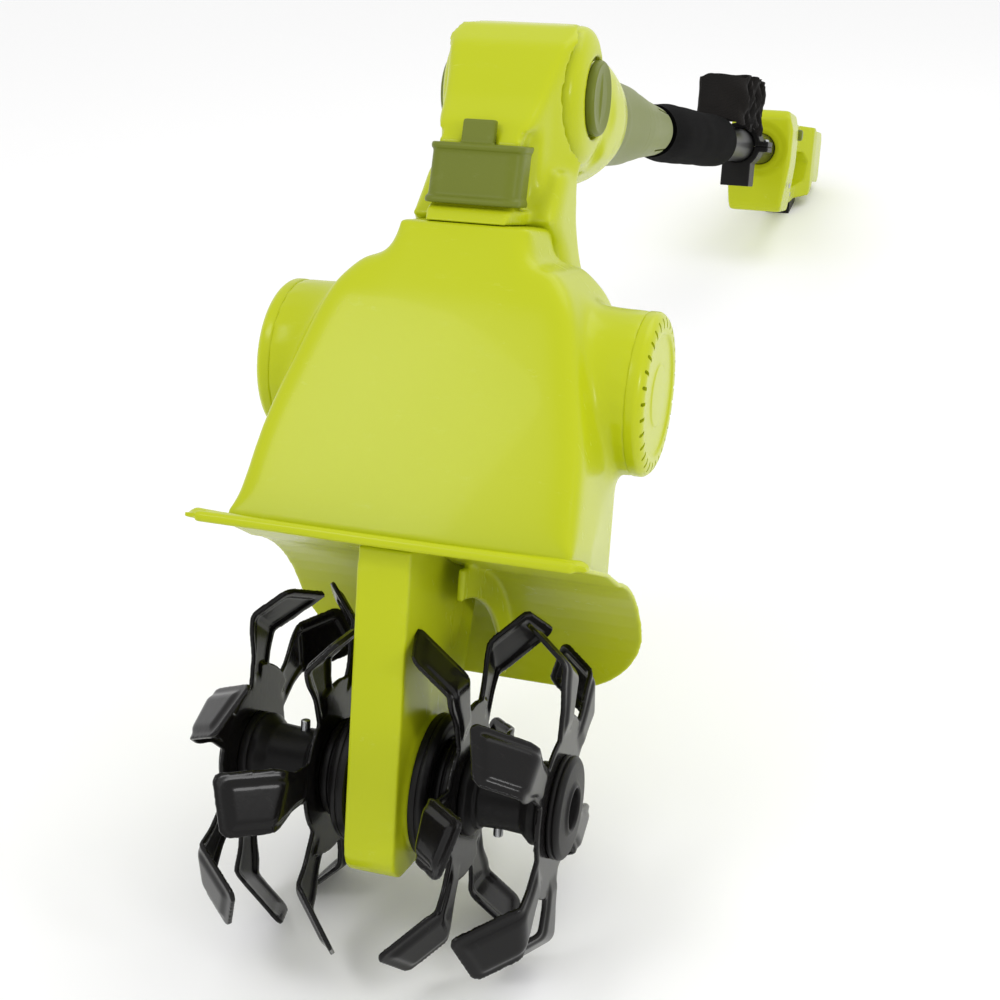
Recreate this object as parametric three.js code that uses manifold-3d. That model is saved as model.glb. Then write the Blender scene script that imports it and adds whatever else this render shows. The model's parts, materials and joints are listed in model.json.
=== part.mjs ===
// Hand-held pole tiller: a powered tilling head with four tine stars, a locking pivot,
// a sliding pole and a rear trigger handle with a battery.
//
// Units are millimetres. Every piece is drawn in the head's own frame: X across, Y back along
// the pole, Z up the gear leg, with its origin on the motor's axis. The whole tool is then
// leaned back by restTilt, so that the tines and the handle's foot stand on Z = 0.

import * as THREE from 'three';
import { mergeVertices } from 'three/addons/utils/BufferGeometryUtils.js';
import Module from 'manifold-3d';

const wasm = await Module();
wasm.setup();

// ---------- driving dimensions ----------

const gap = 0.3;                      // between neighbouring pieces that don't move
const running = 0.4;                  // between pieces that turn or slide on each other
const wall = 3;                       // moulded shells
const round = 24;                     // facets on large round pieces
const smallRound = 12;                // facets on small round pieces
const far = 400;                      // past every piece, for cutting blocks

const leg = { halfWidth: 16, footRadius: 49, cornerRadius: 20, bossRadius: 40, bossStand: 4, topRadius: 44,
  backOffset: 45, shoulderZ: -93 };
const motor = { halfWidth: 123, radius: 50, rootRadius: 55, capWidth: 8, start: leg.halfWidth + wall };
const rotor = { shaftRadius: 5, armatureRadius: 29, armatureFrom: -98, armatureTo: -30, fanRadius: 36 };
const stator = { innerRadius: 32, outerRadius: 44, from: -104, to: -24 };

const axle = { y: -81, z: -238, radius: 10, halfLength: 104 };
const gears = { halfWidth: 6, pinionRadius: 10, idlerRadius: 34, idlerCount: 3, shaftRadius: 5, backlash: 0.25 };

const cowl = { bottomHalf: 105, topHalf: 66, top: 72, frontFoot: -117, frontHead: -50, back: 58, split: -22 };
const pad = { halfWidth: 41, top: 94, back: 20 };
const guard = { halfWidth: 120, radius: 136, thickness: 3, lipY: -140, lipZ: -76, shelfY: -112, shelfZ: -84,
  endAngle: 12, corner: 55 };

const neck = { split: 42, top: 221, back: 62, backFoot: 72 };
const pivot = { y: 88, z: 175, barrelRadius: 45.6, pocketRadius: 48, barrelHalf: 33, boltRadius: 6 };
const yoke = { cheekRadius: 45, cheekHalf: 47, rimHalf: 40, back: 206, backRadius: 46 };
const button = { radius: 24, thickness: 7.5, stand: 6 };
const latch = { halfWidth: 26, plate: 3.5, bottom: 105, top: 141, tabHalf: 10.5, tabTop: 156, reach: 24 };

// A station behind the rear handle's front face, where the pole's length ends.
const handleFront = 1118;
const rear = (offset) => handleFront + offset;
const handle = { front: rear(0), halfWidth: 40, back: rear(282), footFrom: rear(222), footTo: rear(278) };
// The tool leans back until the rear end of the handle has dropped this far.
const rearDrop = 428.023;
const restTilt = Math.atan2(rearDrop, handle.back);
const pole = { z: 165, radius: 18.5, wall: 2.5, front: 170, back: rear(42) };
const socket = { radius: 23, front: 150, back: 330 };
const nut = { front: 207, back: 330, frontRadius: 36, backRadius: 32, ribs: 18 };
const collet = { back: 470, frontRadius: 31, backRadius: 21, slots: 4 };
const foam = { front: 480, back: 790, radius: 26.5 };
const clamp = { front: 950, back: 986, radius: 26, blockHalf: 16.5, blockDrop: 46, bolt: 3 };
const ring = { radius: 20, rod: 2.5, lugHalf: 5, lugTop: 36 };
const strap = { halfWidth: 29, front: 815, back: 935, bottom: pole.z + pole.radius + 2.5, top: 240 };

const lockButton = { y: rear(70), z: 186, radius: 7, inner: 33, stand: 3.5 };
const battery = { halfWidth: 37, length: 64, bottom: 128, top: 198 };
const trigger = { pivotY: rear(101), pivotZ: 166, halfWidth: 9, length: 46, depth: 15 };

const star = { plate: 3, ringRadius: 31, fingerWidth: 22, bendRadius: 82, flapLength: 34, flapWidth: 31 };
const innerStarX = 44;
const outerStarX = 99;
const sleeveRadius = 20;
const hitchPin = { x: 64, radius: 3, length: 52 };
const cup = { radius: 43, face: 30, bore: 27 };

// ---------- finishes ----------

const finish = (color, roughness, metalness) =>
  new THREE.MeshStandardMaterial({ color, roughness, metalness });
const lime = finish(0xc8d440, 0.35, 0);
const olive = finish(0x7a8740, 0.45, 0);
const blackPlastic = finish(0x17171a, 0.5, 0);
const blackSteel = finish(0x1a1a1c, 0.25, 0.8);
const steel = finish(0xa8abae, 0.35, 1);
const foamBlack = finish(0x101010, 0.9, 0);
const webbing = finish(0x1b1b1c, 0.95, 0);
const copper = finish(0xa8623a, 0.4, 0.9);

// ---------- solids ----------

function solidOf(geometry) {
  const bare = geometry.index ? geometry.toNonIndexed() : geometry.clone();
  bare.deleteAttribute('normal');
  bare.deleteAttribute('uv');
  const merged = mergeVertices(bare, 1e-4);
  const make = (triVerts) => new wasm.Manifold(new wasm.Mesh({
    numProp: 3,
    vertProperties: new Float32Array(merged.attributes.position.array),
    triVerts,
  }));
  const faces = [];
  const index = merged.index.array;
  for (let i = 0; i < index.length; i += 3) {
    const [a, b, c] = [index[i], index[i + 1], index[i + 2]];
    if (a !== b && b !== c && a !== c) faces.push(a, b, c);
  }
  const solid = make(new Uint32Array(faces));
  if (solid.volume() > 0) return solid;
  const turned = [];
  for (let i = 0; i < faces.length; i += 3) turned.push(faces[i], faces[i + 2], faces[i + 1]);
  return make(new Uint32Array(turned));
}

function geometryOf(solid) {
  const mesh = solid.getMesh();
  const positions = new Float32Array(mesh.numVert * 3);
  for (let i = 0; i < mesh.numVert; i += 1) {
    for (let k = 0; k < 3; k += 1) positions[3 * i + k] = mesh.vertProperties[mesh.numProp * i + k];
  }
  const geometry = new THREE.BufferGeometry();
  geometry.setAttribute('position', new THREE.BufferAttribute(positions, 3));
  geometry.setIndex(new THREE.BufferAttribute(new Uint32Array(mesh.triVerts), 1));
  geometry.computeVertexNormals();
  return geometry;
}

const join = (...solids) => solids.reduce((whole, next) => whole.add(next));
const cut = (base, ...tools) => tools.reduce((left, tool) => left.subtract(tool), base);

// An outline drawn in two of the axes, pulled along the third.
function prism(outline, from, to, basis) {
  const shape = new THREE.Shape(outline.map(([u, v]) => new THREE.Vector2(u, v)));
  const geometry = new THREE.ExtrudeGeometry(shape, { depth: to - from, bevelEnabled: false });
  geometry.translate(0, 0, from);
  geometry.applyMatrix4(basis);
  return solidOf(geometry);
}

const axisX = new THREE.Vector3(1, 0, 0);
const axisY = new THREE.Vector3(0, 1, 0);
const axisZ = new THREE.Vector3(0, 0, 1);
const alongX = new THREE.Matrix4().makeBasis(axisY, axisZ, axisX);
const alongY = new THREE.Matrix4().makeBasis(axisX, axisZ, axisY);
const alongZ = new THREE.Matrix4().makeBasis(axisX, axisY, axisZ);

const prismX = (outline, from, to) => prism(outline, from, to, alongX);
const prismY = (outline, from, to) => prism(outline, from, to, alongY);
const prismZ = (outline, from, to) => prism(outline, from, to, alongZ);

function block([x0, x1], [y0, y1], [z0, z1]) {
  const geometry = new THREE.BoxGeometry(x1 - x0, y1 - y0, z1 - z0);
  geometry.translate((x0 + x1) / 2, (y0 + y1) / 2, (z0 + z1) / 2);
  return solidOf(geometry);
}

// A turned piece: profile points are [radius, station], the first and last on the axis
// or the outline closed on itself.
function turned(profile, facets, place) {
  const points = profile.map(([radius, station]) => new THREE.Vector2(radius, station));
  const geometry = new THREE.LatheGeometry(points, facets);
  geometry.applyMatrix4(place);
  return solidOf(geometry);
}

const turnX = (profile, [y, z], facets = round) => turned(profile, facets,
  new THREE.Matrix4().makeTranslation(0, y, z).multiply(new THREE.Matrix4().makeRotationZ(-Math.PI / 2)));
const turnY = (profile, [x, z], facets = round) => turned(profile, facets,
  new THREE.Matrix4().makeTranslation(x, 0, z));

const rodProfile = (radius, from, to) => [[0, from], [radius, from], [radius, to], [0, to]];
const ringProfile = (inner, outer, from, to) =>
  [[inner, from], [outer, from], [outer, to], [inner, to], [inner, from]];
const rodX = (radius, from, to, at, facets) => turnX(rodProfile(radius, from, to), at, facets);
const rodY = (radius, from, to, at, facets) => turnY(rodProfile(radius, from, to), at, facets);
const ringX = (inner, outer, from, to, at, facets) => turnX(ringProfile(inner, outer, from, to), at, facets);
const ringY = (inner, outer, from, to, at, facets) => turnY(ringProfile(inner, outer, from, to), at, facets);

function rodZ(radius, from, to, [x, y], facets = smallRound) {
  const geometry = new THREE.CylinderGeometry(radius, radius, to - from, facets);
  geometry.rotateX(Math.PI / 2);
  geometry.translate(x, y, (from + to) / 2);
  return solidOf(geometry);
}

// Points round part of a circle, angles in degrees.
function arc([cx, cy], radius, from, to, steps) {
  const points = [];
  for (let i = 0; i <= steps; i += 1) {
    const angle = THREE.MathUtils.degToRad(from + ((to - from) * i) / steps);
    points.push([cx + radius * Math.cos(angle), cy + radius * Math.sin(angle)]);
  }
  return points;
}

// Each edge of a closed outline moved inwards by one distance.
function inset(outline, distance) {
  const area = outline.reduce((sum, [x, y], i) => {
    const [nx, ny] = outline[(i + 1) % outline.length];
    return sum + x * ny - nx * y;
  }, 0);
  const side = Math.sign(area) * distance;
  const edges = outline.map(([x, y], i) => {
    const [nx, ny] = outline[(i + 1) % outline.length];
    const length = Math.hypot(nx - x, ny - y);
    const [dx, dy] = [(nx - x) / length, (ny - y) / length];
    return { x: x - dy * side, y: y + dx * side, dx, dy };
  });
  return edges.map((edge, i) => {
    const before = edges[(i + edges.length - 1) % edges.length];
    const turn = before.dx * edge.dy - before.dy * edge.dx;
    if (Math.abs(turn) < 1e-6) return [edge.x, edge.y];
    const along = ((edge.x - before.x) * edge.dy - (edge.y - before.y) * edge.dx) / turn;
    return [before.x + before.dx * along, before.y + before.dy * along];
  });
}

const mirrorX = (solid) => solid.mirror([1, 0, 0]);

// ---------- the assembly ----------

const tiller = new THREE.Group();
const tool = new THREE.Group();
tiller.add(tool);

function addPart(name, solid, material) {
  const mesh = new THREE.Mesh(geometryOf(solid), material);
  mesh.name = name;
  tool.add(mesh);
}

// Left is -X. A mirrored pair is drawn once, on the right.
function addPair(name, right, material) {
  addPart(`${name}_left`, mirrorX(right), material);
  addPart(`${name}_right`, right, material);
}

const axleAt = [axle.y, axle.z];
const pivotAt = [pivot.y, pivot.z];

// ---------- gear train: motor to axle ----------

const trainLength = Math.hypot(axle.y, axle.z);
const trainDirection = [axle.y / trainLength, axle.z / trainLength];
const onTrain = (distance) => [trainDirection[0] * distance, trainDirection[1] * distance];
const firstIdler = gears.pinionRadius + gears.idlerRadius;
const lastIdler = firstIdler + 2 * gears.idlerRadius * (gears.idlerCount - 1);
const finalRadius = trainLength - lastIdler - gears.idlerRadius;

function gear(radius, bore, at) {
  return ringX(bore, radius - gears.backlash, -gears.halfWidth, gears.halfWidth, at, 24);
}

function addGearTrain() {
  addPart('pinion', gear(gears.pinionRadius, rotor.shaftRadius + gap, [0, 0]), steel);
  for (let i = 0; i < gears.idlerCount; i += 1) {
    const at = onTrain(firstIdler + 2 * gears.idlerRadius * i);
    const half = leg.halfWidth - wall - gap;
    addPart(`gear_shaft_${i + 1}`, rodX(gears.shaftRadius, -half, half, at, smallRound), steel);
    addPart(`idler_gear_${i + 1}`, gear(gears.idlerRadius, gears.shaftRadius + running, at), steel);
  }
  addPart('final_gear', gear(finalRadius, axle.radius + gap, [axle.y, axle.z]), steel);
}

// ---------- gear leg ----------

// The leg's outline: round the axle, up the straight front edge to the shoulder under the
// guard's lip, in behind the cowl, round the motor and down parallel with the gear train.
function legOutline(grow) {
  const slant = THREE.MathUtils.radToDeg(Math.atan2(-trainDirection[1], -trainDirection[0]));
  const offset = leg.backOffset + grow;
  const [nx, ny] = [-trainDirection[1], trainDirection[0]];
  const footRadius = leg.footRadius + grow;
  const footAngle = slant - 90 + THREE.MathUtils.radToDeg(Math.acos(offset / footRadius));
  const topRadius = leg.topRadius + grow;
  const front = axle.y - footRadius;
  const corner = leg.cornerRadius + grow;
  return [
    ...arc([front + corner, axle.z - footRadius + corner], corner, -180, -90, 5),
    ...arc([axle.y, axle.z], footRadius, -90, footAngle, 9),
    [nx * offset, ny * offset],
    ...arc([0, 0], topRadius, slant - 80, slant + 100, 10),
    [-66 - grow, -30],
    [-104 - grow, leg.shoulderZ + 2],
    [front, leg.shoulderZ + grow],
  ];
}

function legSolid(grow) {
  return prismX(legOutline(grow), -leg.halfWidth - grow, leg.halfWidth + grow);
}

function addLeg() {
  const outline = legOutline(0);
  const bossFace = leg.halfWidth + leg.bossStand;
  const tray = cut(
    join(prismX(outline, gap / 2, leg.halfWidth), rodX(leg.bossRadius, leg.halfWidth - 1, bossFace, axleAt)),
    prismX(inset(outline, wall), 0, leg.halfWidth - wall),
    rodX(axle.radius + 1.5, 0, bossFace + wall, axleAt, smallRound),
    rodX(rotor.shaftRadius + running, 0, leg.halfWidth + wall, [0, 0], smallRound),
  );
  addPair('leg_case', tray, lime);
  const cupShell = turnX([
    [cup.bore, bossFace + gap],
    [cup.radius, bossFace + gap],
    [cup.radius, cup.face - 3],
    [cup.radius - 3, cup.face],
    [cup.bore + 4, cup.face],
    [cup.bore, cup.face - 4],
    [cup.bore, bossFace + gap],
  ], axleAt);
  addPair('seal_cup', cupShell, blackPlastic);
}

// ---------- guard ----------

// The guard's upper face from the front lip to the end of its rear curve.
function guardCurve(lift) {
  const radius = guard.radius + lift;
  return [
    [guard.lipY, guard.lipZ + lift],
    [guard.shelfY, guard.shelfZ + lift],
    [-84, -92 + lift],
    ...arc([axle.y, axle.z], radius, 78, guard.endAngle, 12),
  ];
}

function addGuard() {
  const upper = guardCurve(0);
  const lower = guardCurve(-guard.thickness).reverse();
  const half = guard.halfWidth;
  const bottom = axle.z + guard.radius * Math.sin(THREE.MathUtils.degToRad(guard.endAngle));
  const reach = 40;
  const rearView = [
    [half, reach],
    [half, bottom + guard.corner],
    ...arc([half - guard.corner, bottom + guard.corner], guard.corner, 0, -90, 8).slice(1),
    ...arc([-half + guard.corner, bottom + guard.corner], guard.corner, -90, -180, 8),
    [-half, reach],
  ];
  const sheet = prismX([...upper, ...lower], -half, half)
    .intersect(prismY(rearView, guard.lipY - 10, guard.radius));
  const edge = rodX(3.4, -half + 8, half - 8, [guard.lipY, guard.lipZ - guard.thickness / 2], 12);
  addPart('tine_guard', cut(join(sheet, edge), legSolid(gap)), lime);
}

// ---------- cowl ----------

function cowlSide() {
  const slope = (guard.shelfZ - guard.lipZ) / (guard.shelfY - guard.lipY);
  return [
    [cowl.frontFoot, guard.lipZ + slope * (cowl.frontFoot - guard.lipY) + gap],
    [cowl.frontHead, 53],
    [cowl.frontHead + 14, cowl.top],
    [40, cowl.top],
    [cowl.back, 46],
    [cowl.back, -52],
    ...guardCurve(gap).slice(1, 9).reverse().filter(([y]) => y < cowl.back - 20),
  ];
}

function cowlFront(half, topHalf, top) {
  return [
    [-half, -150], [half, -150], [half, -83], [half - 5, -33], [half - 10, -9], [topHalf + 15, 41],
    [topHalf + 8, 57], [topHalf - 6, top], [6 - topHalf, top], [-topHalf - 8, 57],
    [-topHalf - 15, 41], [10 - half, -9], [5 - half, -33], [-half, -83],
  ];
}

const cowlPlan = (half) => [
  [-half, -130], [half, -130], [half, -70], [half - 5, 0], [half - 18, cowl.back + 1],
  [18 - half, cowl.back + 1], [5 - half, 0], [-half, -70],
];

function cowlSolid(thin) {
  const side = inset(cowlSide(), thin);
  const front = inset(cowlFront(cowl.bottomHalf, cowl.topHalf, cowl.top), thin);
  const half = cowl.bottomHalf;
  return prismX(side, -half, half)
    .intersect(prismY(front, -160, 100))
    .intersect(prismZ(inset(cowlPlan(half), thin), -160, 100));
}

const padOutline = (low) => [
  [cowl.frontHead - 0.5, low], [-26, pad.top], [pad.back, pad.top], [pad.back, low],
];

// The motor housing's outer radius, which tapers from its root to its end cap.
const capStart = motor.halfWidth - motor.capWidth;
const barrelTaper = (motor.rootRadius - motor.radius) / (capStart - motor.start);
const barrelRadius = (x) => motor.rootRadius - barrelTaper * (x - motor.start);

function barrelHole() {
  const hole = turnX([
    [0, 0], [barrelRadius(motor.start) + gap, 0], [barrelRadius(motor.start) + gap, motor.start],
    [barrelRadius(capStart) + gap, capStart], [0, capStart],
  ], [0, 0]);
  return join(hole, mirrorX(hole));
}

function addCowl() {
  const mouth = block([-88, 88], [-104, 12], [-140, -70]);
  const rise = prismX(padOutline(52), -pad.halfWidth, pad.halfWidth);
  const shell = cut(
    join(cowlSolid(0), rise),
    cowlSolid(wall),
    prismX(inset(padOutline(52), wall), -pad.halfWidth + wall, pad.halfWidth - wall),
    mouth,
    barrelHole(),
    legSolid(gap),
  );
  addPart('cowl_front', cut(shell, block([-far, far], [cowl.split - gap / 2, far], [-far, far])), lime);
  addPart('cowl_rear', cut(shell, block([-far, far], [-far, cowl.split + gap / 2], [-far, far])), lime);
}

// ---------- motor ----------

function addMotor() {
  const barrel = turnX([
    [barrelRadius(motor.start) - wall, motor.start],
    [barrelRadius(motor.start), motor.start],
    [barrelRadius(capStart), capStart],
    [barrelRadius(capStart) - wall, capStart],
    [barrelRadius(motor.start) - wall, motor.start],
  ], [0, 0]);
  addPair('motor_barrel', barrel, lime);

  let cap = turnX([
    [0, capStart + gap],
    [motor.radius, capStart + gap],
    [motor.radius, motor.halfWidth - 4],
    [motor.radius - 4, motor.halfWidth],
    [motor.radius - 13, motor.halfWidth],
    [motor.radius - 15, motor.halfWidth - 1.5],
    [0, motor.halfWidth - 1.5],
  ], [0, 0]);
  const vents = 10;
  for (let i = 0; i < vents; i += 1) {
    const angle = ((i + 0.5) / vents) * 2 * Math.PI;
    const at = [(motor.radius - 8.5) * Math.cos(angle), (motor.radius - 8.5) * Math.sin(angle)];
    cap = cut(cap, rodX(2.4, capStart - 1, motor.halfWidth + 1, at, 6));
  }
  addPair('motor_cap', cap, lime);

  const { from, to, innerRadius, outerRadius } = stator;
  addPart('stator', ringX(innerRadius, outerRadius, from, to, [0, 0]), steel);
  const shaftHalf = capStart - 2;
  addPart('motor_shaft', rodX(rotor.shaftRadius, -shaftHalf, shaftHalf, [0, 0], smallRound), steel);
  const bore = rotor.shaftRadius + gap;
  addPart('armature', ringX(bore, rotor.armatureRadius, rotor.armatureFrom, rotor.armatureTo,
    [0, 0], 24), copper);
  let fan = ringX(bore, 12, 28, 44, [0, 0], smallRound);
  const blades = 6;
  for (let i = 0; i < blades; i += 1) {
    const blade = block([30, 42], [8, rotor.fanRadius], [-1.2, 1.2]).rotate([(360 * i) / blades, 0, 0]);
    fan = join(fan, blade);
  }
  addPart('cooling_fan', fan, blackPlastic);
}

// ---------- axle, hubs and tine stars ----------

// One stamped star, drawn flat at x = 0 round the axle. Each finger runs out to a slanting
// bend, where its flap turns off the plate: a positive fold leans towards +X.
function tineStar(fingers) {
  const bore = axle.radius + gap;
  let whole = ringX(bore, star.ringRadius, -star.plate / 2, star.plate / 2, [0, 0]);
  for (const { angle, fold } of fingers) {
    const half = star.fingerWidth / 2;
    const wide = star.flapWidth / 2;
    const slantRun = 6;
    const arm = prismX([
      [bore + 12, -half], [star.bendRadius - slantRun, -wide], [star.bendRadius + slantRun, wide],
      [bore + 12, half],
    ], -star.plate / 2, star.plate / 2);
    const slantAngle = Math.atan2(star.flapWidth, 2 * slantRun);
    const flapOutline = [
      [-1.5, -wide - 1], [star.flapLength - 6, -wide], [star.flapLength, -wide + 6],
      [star.flapLength - 3, wide], [-1.5, wide + 1],
    ];
    const slant = 90 - THREE.MathUtils.radToDeg(slantAngle);
    const flap = prismX(flapOutline, -star.plate / 2, star.plate / 2)
      .rotate([0, 0, -fold])
      .rotate([-slant, 0, 0])
      .translate([0, star.bendRadius, 0]);
    whole = join(whole, join(arm, flap).rotate([angle, 0, 0]));
  }
  return cut(whole, rodX(bore, -star.plate, star.plate, [0, 0], smallRound));
}

const fingerAngles = [40, 88, 150, 220, 268, 330];
const outerFolds = [-50, -50, -50, -50, -50, -50];
const innerFolds = [42, -42, 42, -42, 42, -42];
const innerTurn = 25;                 // the inner stars are clocked between the outer ones

function addStars(name, x, turn, folds) {
  const fingers = fingerAngles.map((angle, i) => ({ angle: angle + turn, fold: folds[i] }));
  addPair(name, tineStar(fingers).translate([x, axle.y, axle.z]), blackSteel);
}

function addTines() {
  addStars('tine_star_outer', outerStarX, 0, outerFolds);
  addStars('tine_star_inner', innerStarX, innerTurn, innerFolds);

  const pinHole = (grow) => rodZ(hitchPin.radius + grow, axle.z - hitchPin.length / 2,
    axle.z + hitchPin.length / 2, [hitchPin.x, axle.y], 16);
  const bothHoles = join(pinHole(gap), mirrorX(pinHole(gap)));
  const shaft = cut(rodX(axle.radius, -axle.halfLength, axle.halfLength, axleAt, smallRound), bothHoles);
  addPart('tine_axle', shaft, steel);
  addPair('hitch_pin', pinHole(0), steel);

  const bore = axle.radius + gap;
  const plate = star.plate / 2 + gap;
  const bossFace = leg.halfWidth + leg.bossStand;
  const hub = turnX([
    [bore, bossFace + running], [cup.bore - 3, bossFace + running],
    [cup.bore - 3, cup.face], [cup.bore + 3, cup.face + 2],
    [cup.bore + 3, innerStarX - plate - 4], [cup.bore - 1, innerStarX - plate],
    [bore, innerStarX - plate], [bore, bossFace + running],
  ], axleAt, 24);
  addPair('inner_hub', hub, blackPlastic);
  const sleeve = cut(turnX([
    [bore, innerStarX + plate], [cup.bore - 1, innerStarX + plate], [cup.bore - 1, innerStarX + 7],
    [sleeveRadius, innerStarX + 10], [sleeveRadius, outerStarX - 14], [cup.bore - 2, outerStarX - 10],
    [cup.bore - 2, outerStarX - plate], [bore, outerStarX - plate], [bore, innerStarX + plate],
  ], axleAt, 24), pinHole(gap));
  addPair('tine_sleeve', sleeve, blackPlastic);
  const face = outerStarX + plate;
  const flange = turnX([
    [bore, face], [31, face], [31, face + 5], [29, face + 7.5], [16, face + 7.5], [14, face + 9],
    [axle.radius + 3, face + 9], [bore, face + 6], [bore, face],
  ], axleAt, 24);
  addPair('hub_flange', flange, blackPlastic);
}

// ---------- neck ----------

function neckSide() {
  return [
    [-24, pad.top + gap], [-13, 106], [-6, 141], [4, 156], [18, 170], [42, 204], [62, 217.5],
    ...arc(pivotAt, pivot.barrelRadius, 95, -80, 16),
    [neck.back + 2, 127], [neck.back, 124], [neck.back, neck.backFoot + gap],
    [pad.back + gap, neck.backFoot + gap], [pad.back + gap, pad.top + gap],
  ];
}

const neckPlan = [
  [-24, -30], [24, -30], [30, 0], [35, 30], [41, 48], [47, 62], [44, 80], [44, 140],
  [-44, 140], [-44, 80], [-47, 62], [-41, 48], [-35, 30], [-30, 0],
];
const neckFront = [
  [-52, 60], [52, 60], [50, 126], [46, 170], [43, 208], [36, 222],
  [-36, 222], [-43, 208], [-46, 170], [-50, 126],
];

// The latch's clearance: its plate, its two arms and its tab, grown by the running gap.
function latchSolid(grow) {
  const { halfWidth, plate, bottom, top, tabHalf, tabTop, reach } = latch;
  const frontAt = (z) => -13 + ((z - 106) * 7) / 35;
  const sheath = (thickness, low, high) => [
    [frontAt(low) - plate - grow, low], [frontAt(high) - plate - grow, high],
    [frontAt(high) - plate + thickness + grow, high], [frontAt(low) - plate + thickness + grow, low],
  ];
  const outer = halfWidth + plate + grow;
  const front = prismX(sheath(plate + 1, bottom - grow, top + grow), -outer, outer);
  const arm = prismX(sheath(reach, bottom - grow, top + grow), halfWidth - grow, outer);
  const tab = prismX(sheath(plate + 3, top - 2, tabTop + grow), -tabHalf - grow, tabHalf + grow);
  const rims = [bottom + 2, top - 2].map((z) =>
    rodX(2.2 + grow, -outer + 2, outer - 2, [frontAt(z) - plate, z], 12));
  return join(front, arm, mirrorX(arm), tab, ...rims);
}

function addNeck() {
  const half = 60;
  const pocket = rodX(pivot.pocketRadius, pivot.barrelHalf, half, pivotAt);
  const behind = block([pivot.barrelHalf, half], [pivot.y, 200], [100, 260]);
  const notch = cut(
    block([-half, half], [-40, 16], [latch.bottom - 2, latch.top + 9]),
    block([-latch.halfWidth + gap, latch.halfWidth - gap], [-12.2, 20], [0, 200]),
  );
  const whole = cut(
    prismX(neckSide(), -half, half)
      .intersect(prismZ(neckPlan, 0, 300))
      .intersect(prismY(neckFront, -60, 160)),
    pocket, mirrorX(pocket),
    behind, mirrorX(behind),
    rodX(pivot.boltRadius + gap, -half, half, pivotAt, smallRound),
    notch,
    latchSolid(running),
  );
  addPart('neck_front', cut(whole, block([-far, far], [neck.split - gap / 2, far], [-far, far])), lime);
  addPart('neck_rear', cut(whole, block([-far, far], [-far, neck.split + gap / 2], [-far, far])), lime);
  addPart('neck_latch', latchSolid(0), olive);
}

// ---------- pivot and yoke ----------

function addYoke() {
  const [y, z] = pivotAt;
  const { cheekRadius, cheekHalf, rimHalf, back, backRadius } = yoke;
  const inner = pivot.barrelHalf + running;
  const cheekOutline = [
    ...arc(pivotAt, cheekRadius, 80, 280, 18),
    [150, pole.z - backRadius],
    [150, pole.z + backRadius],
  ];
  const dome = turnX([
    [0, inner - 1], [90, inner - 1], [90, rimHalf - 10], [cheekRadius, rimHalf], [cheekRadius - 9, cheekHalf - 1],
    [button.radius + 5, cheekHalf], [0, cheekHalf],
  ], pivotAt);
  const cheek = cut(
    prismX(cheekOutline, inner, cheekHalf).intersect(join(dome, block([0, 60], [y + 30, 160], [0, 300]))),
    rodX(button.radius + running, cheekHalf - button.stand, cheekHalf + 5, pivotAt, 24),
    rodX(pivot.boltRadius + running, 0, cheekHalf, pivotAt, smallRound),
  );
  const hood = turnY([
    [0, y - 60], [72, y - 60], [72, y + 18], [54, y + 52], [backRadius, back - 18],
    [backRadius - 3, back - 7], [backRadius - 10, back], [0, back],
  ], [0, pole.z]);
  const bridge = cut(
    rodY(backRadius + 4, y + 30, back, [0, pole.z]),
    rodX(pivot.barrelRadius + 1.2, -inner - 0.01, inner + 0.01, pivotAt),
    rodX(cheekRadius + 0.01, -cheekHalf - 9, -inner, pivotAt),
    rodX(cheekRadius + 0.01, inner, cheekHalf + 9, pivotAt),
    block([-100, 100], [0, y + 48], [z + cheekRadius, 400]),
    rodY(socket.radius + gap, 100, back + 10, [0, pole.z]),
  );
  const whole = cut(
    join(cheek, mirrorX(cheek), bridge).intersect(hood),
    rodY(socket.radius + gap, socket.front - gap, back + 10, [0, pole.z]),
  );
  addPart('yoke_left', cut(whole, block([-gap / 2, far], [-far, far], [-far, far])), lime);
  addPart('yoke_right', cut(whole, block([-far, gap / 2], [-far, far], [-far, far])), lime);

  const boltHalf = cheekHalf - button.stand - 1;
  addPart('pivot_bolt', rodX(pivot.boltRadius, -boltHalf, boltHalf, pivotAt, smallRound), steel);
  const face = cheekHalf + button.stand;
  const ridge = block([face - 1, face + 1.5], [y - 2.5, y + 2.5], [z - 16, z + 16]);
  const start = face - button.thickness;
  const press = join(turnX([
    [0, start], [button.radius, start], [button.radius, face - 2], [button.radius - 2, face], [0, face],
  ], pivotAt, 24), ridge);
  addPair('pivot_button', press, olive);
}

// ---------- pole ----------

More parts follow.
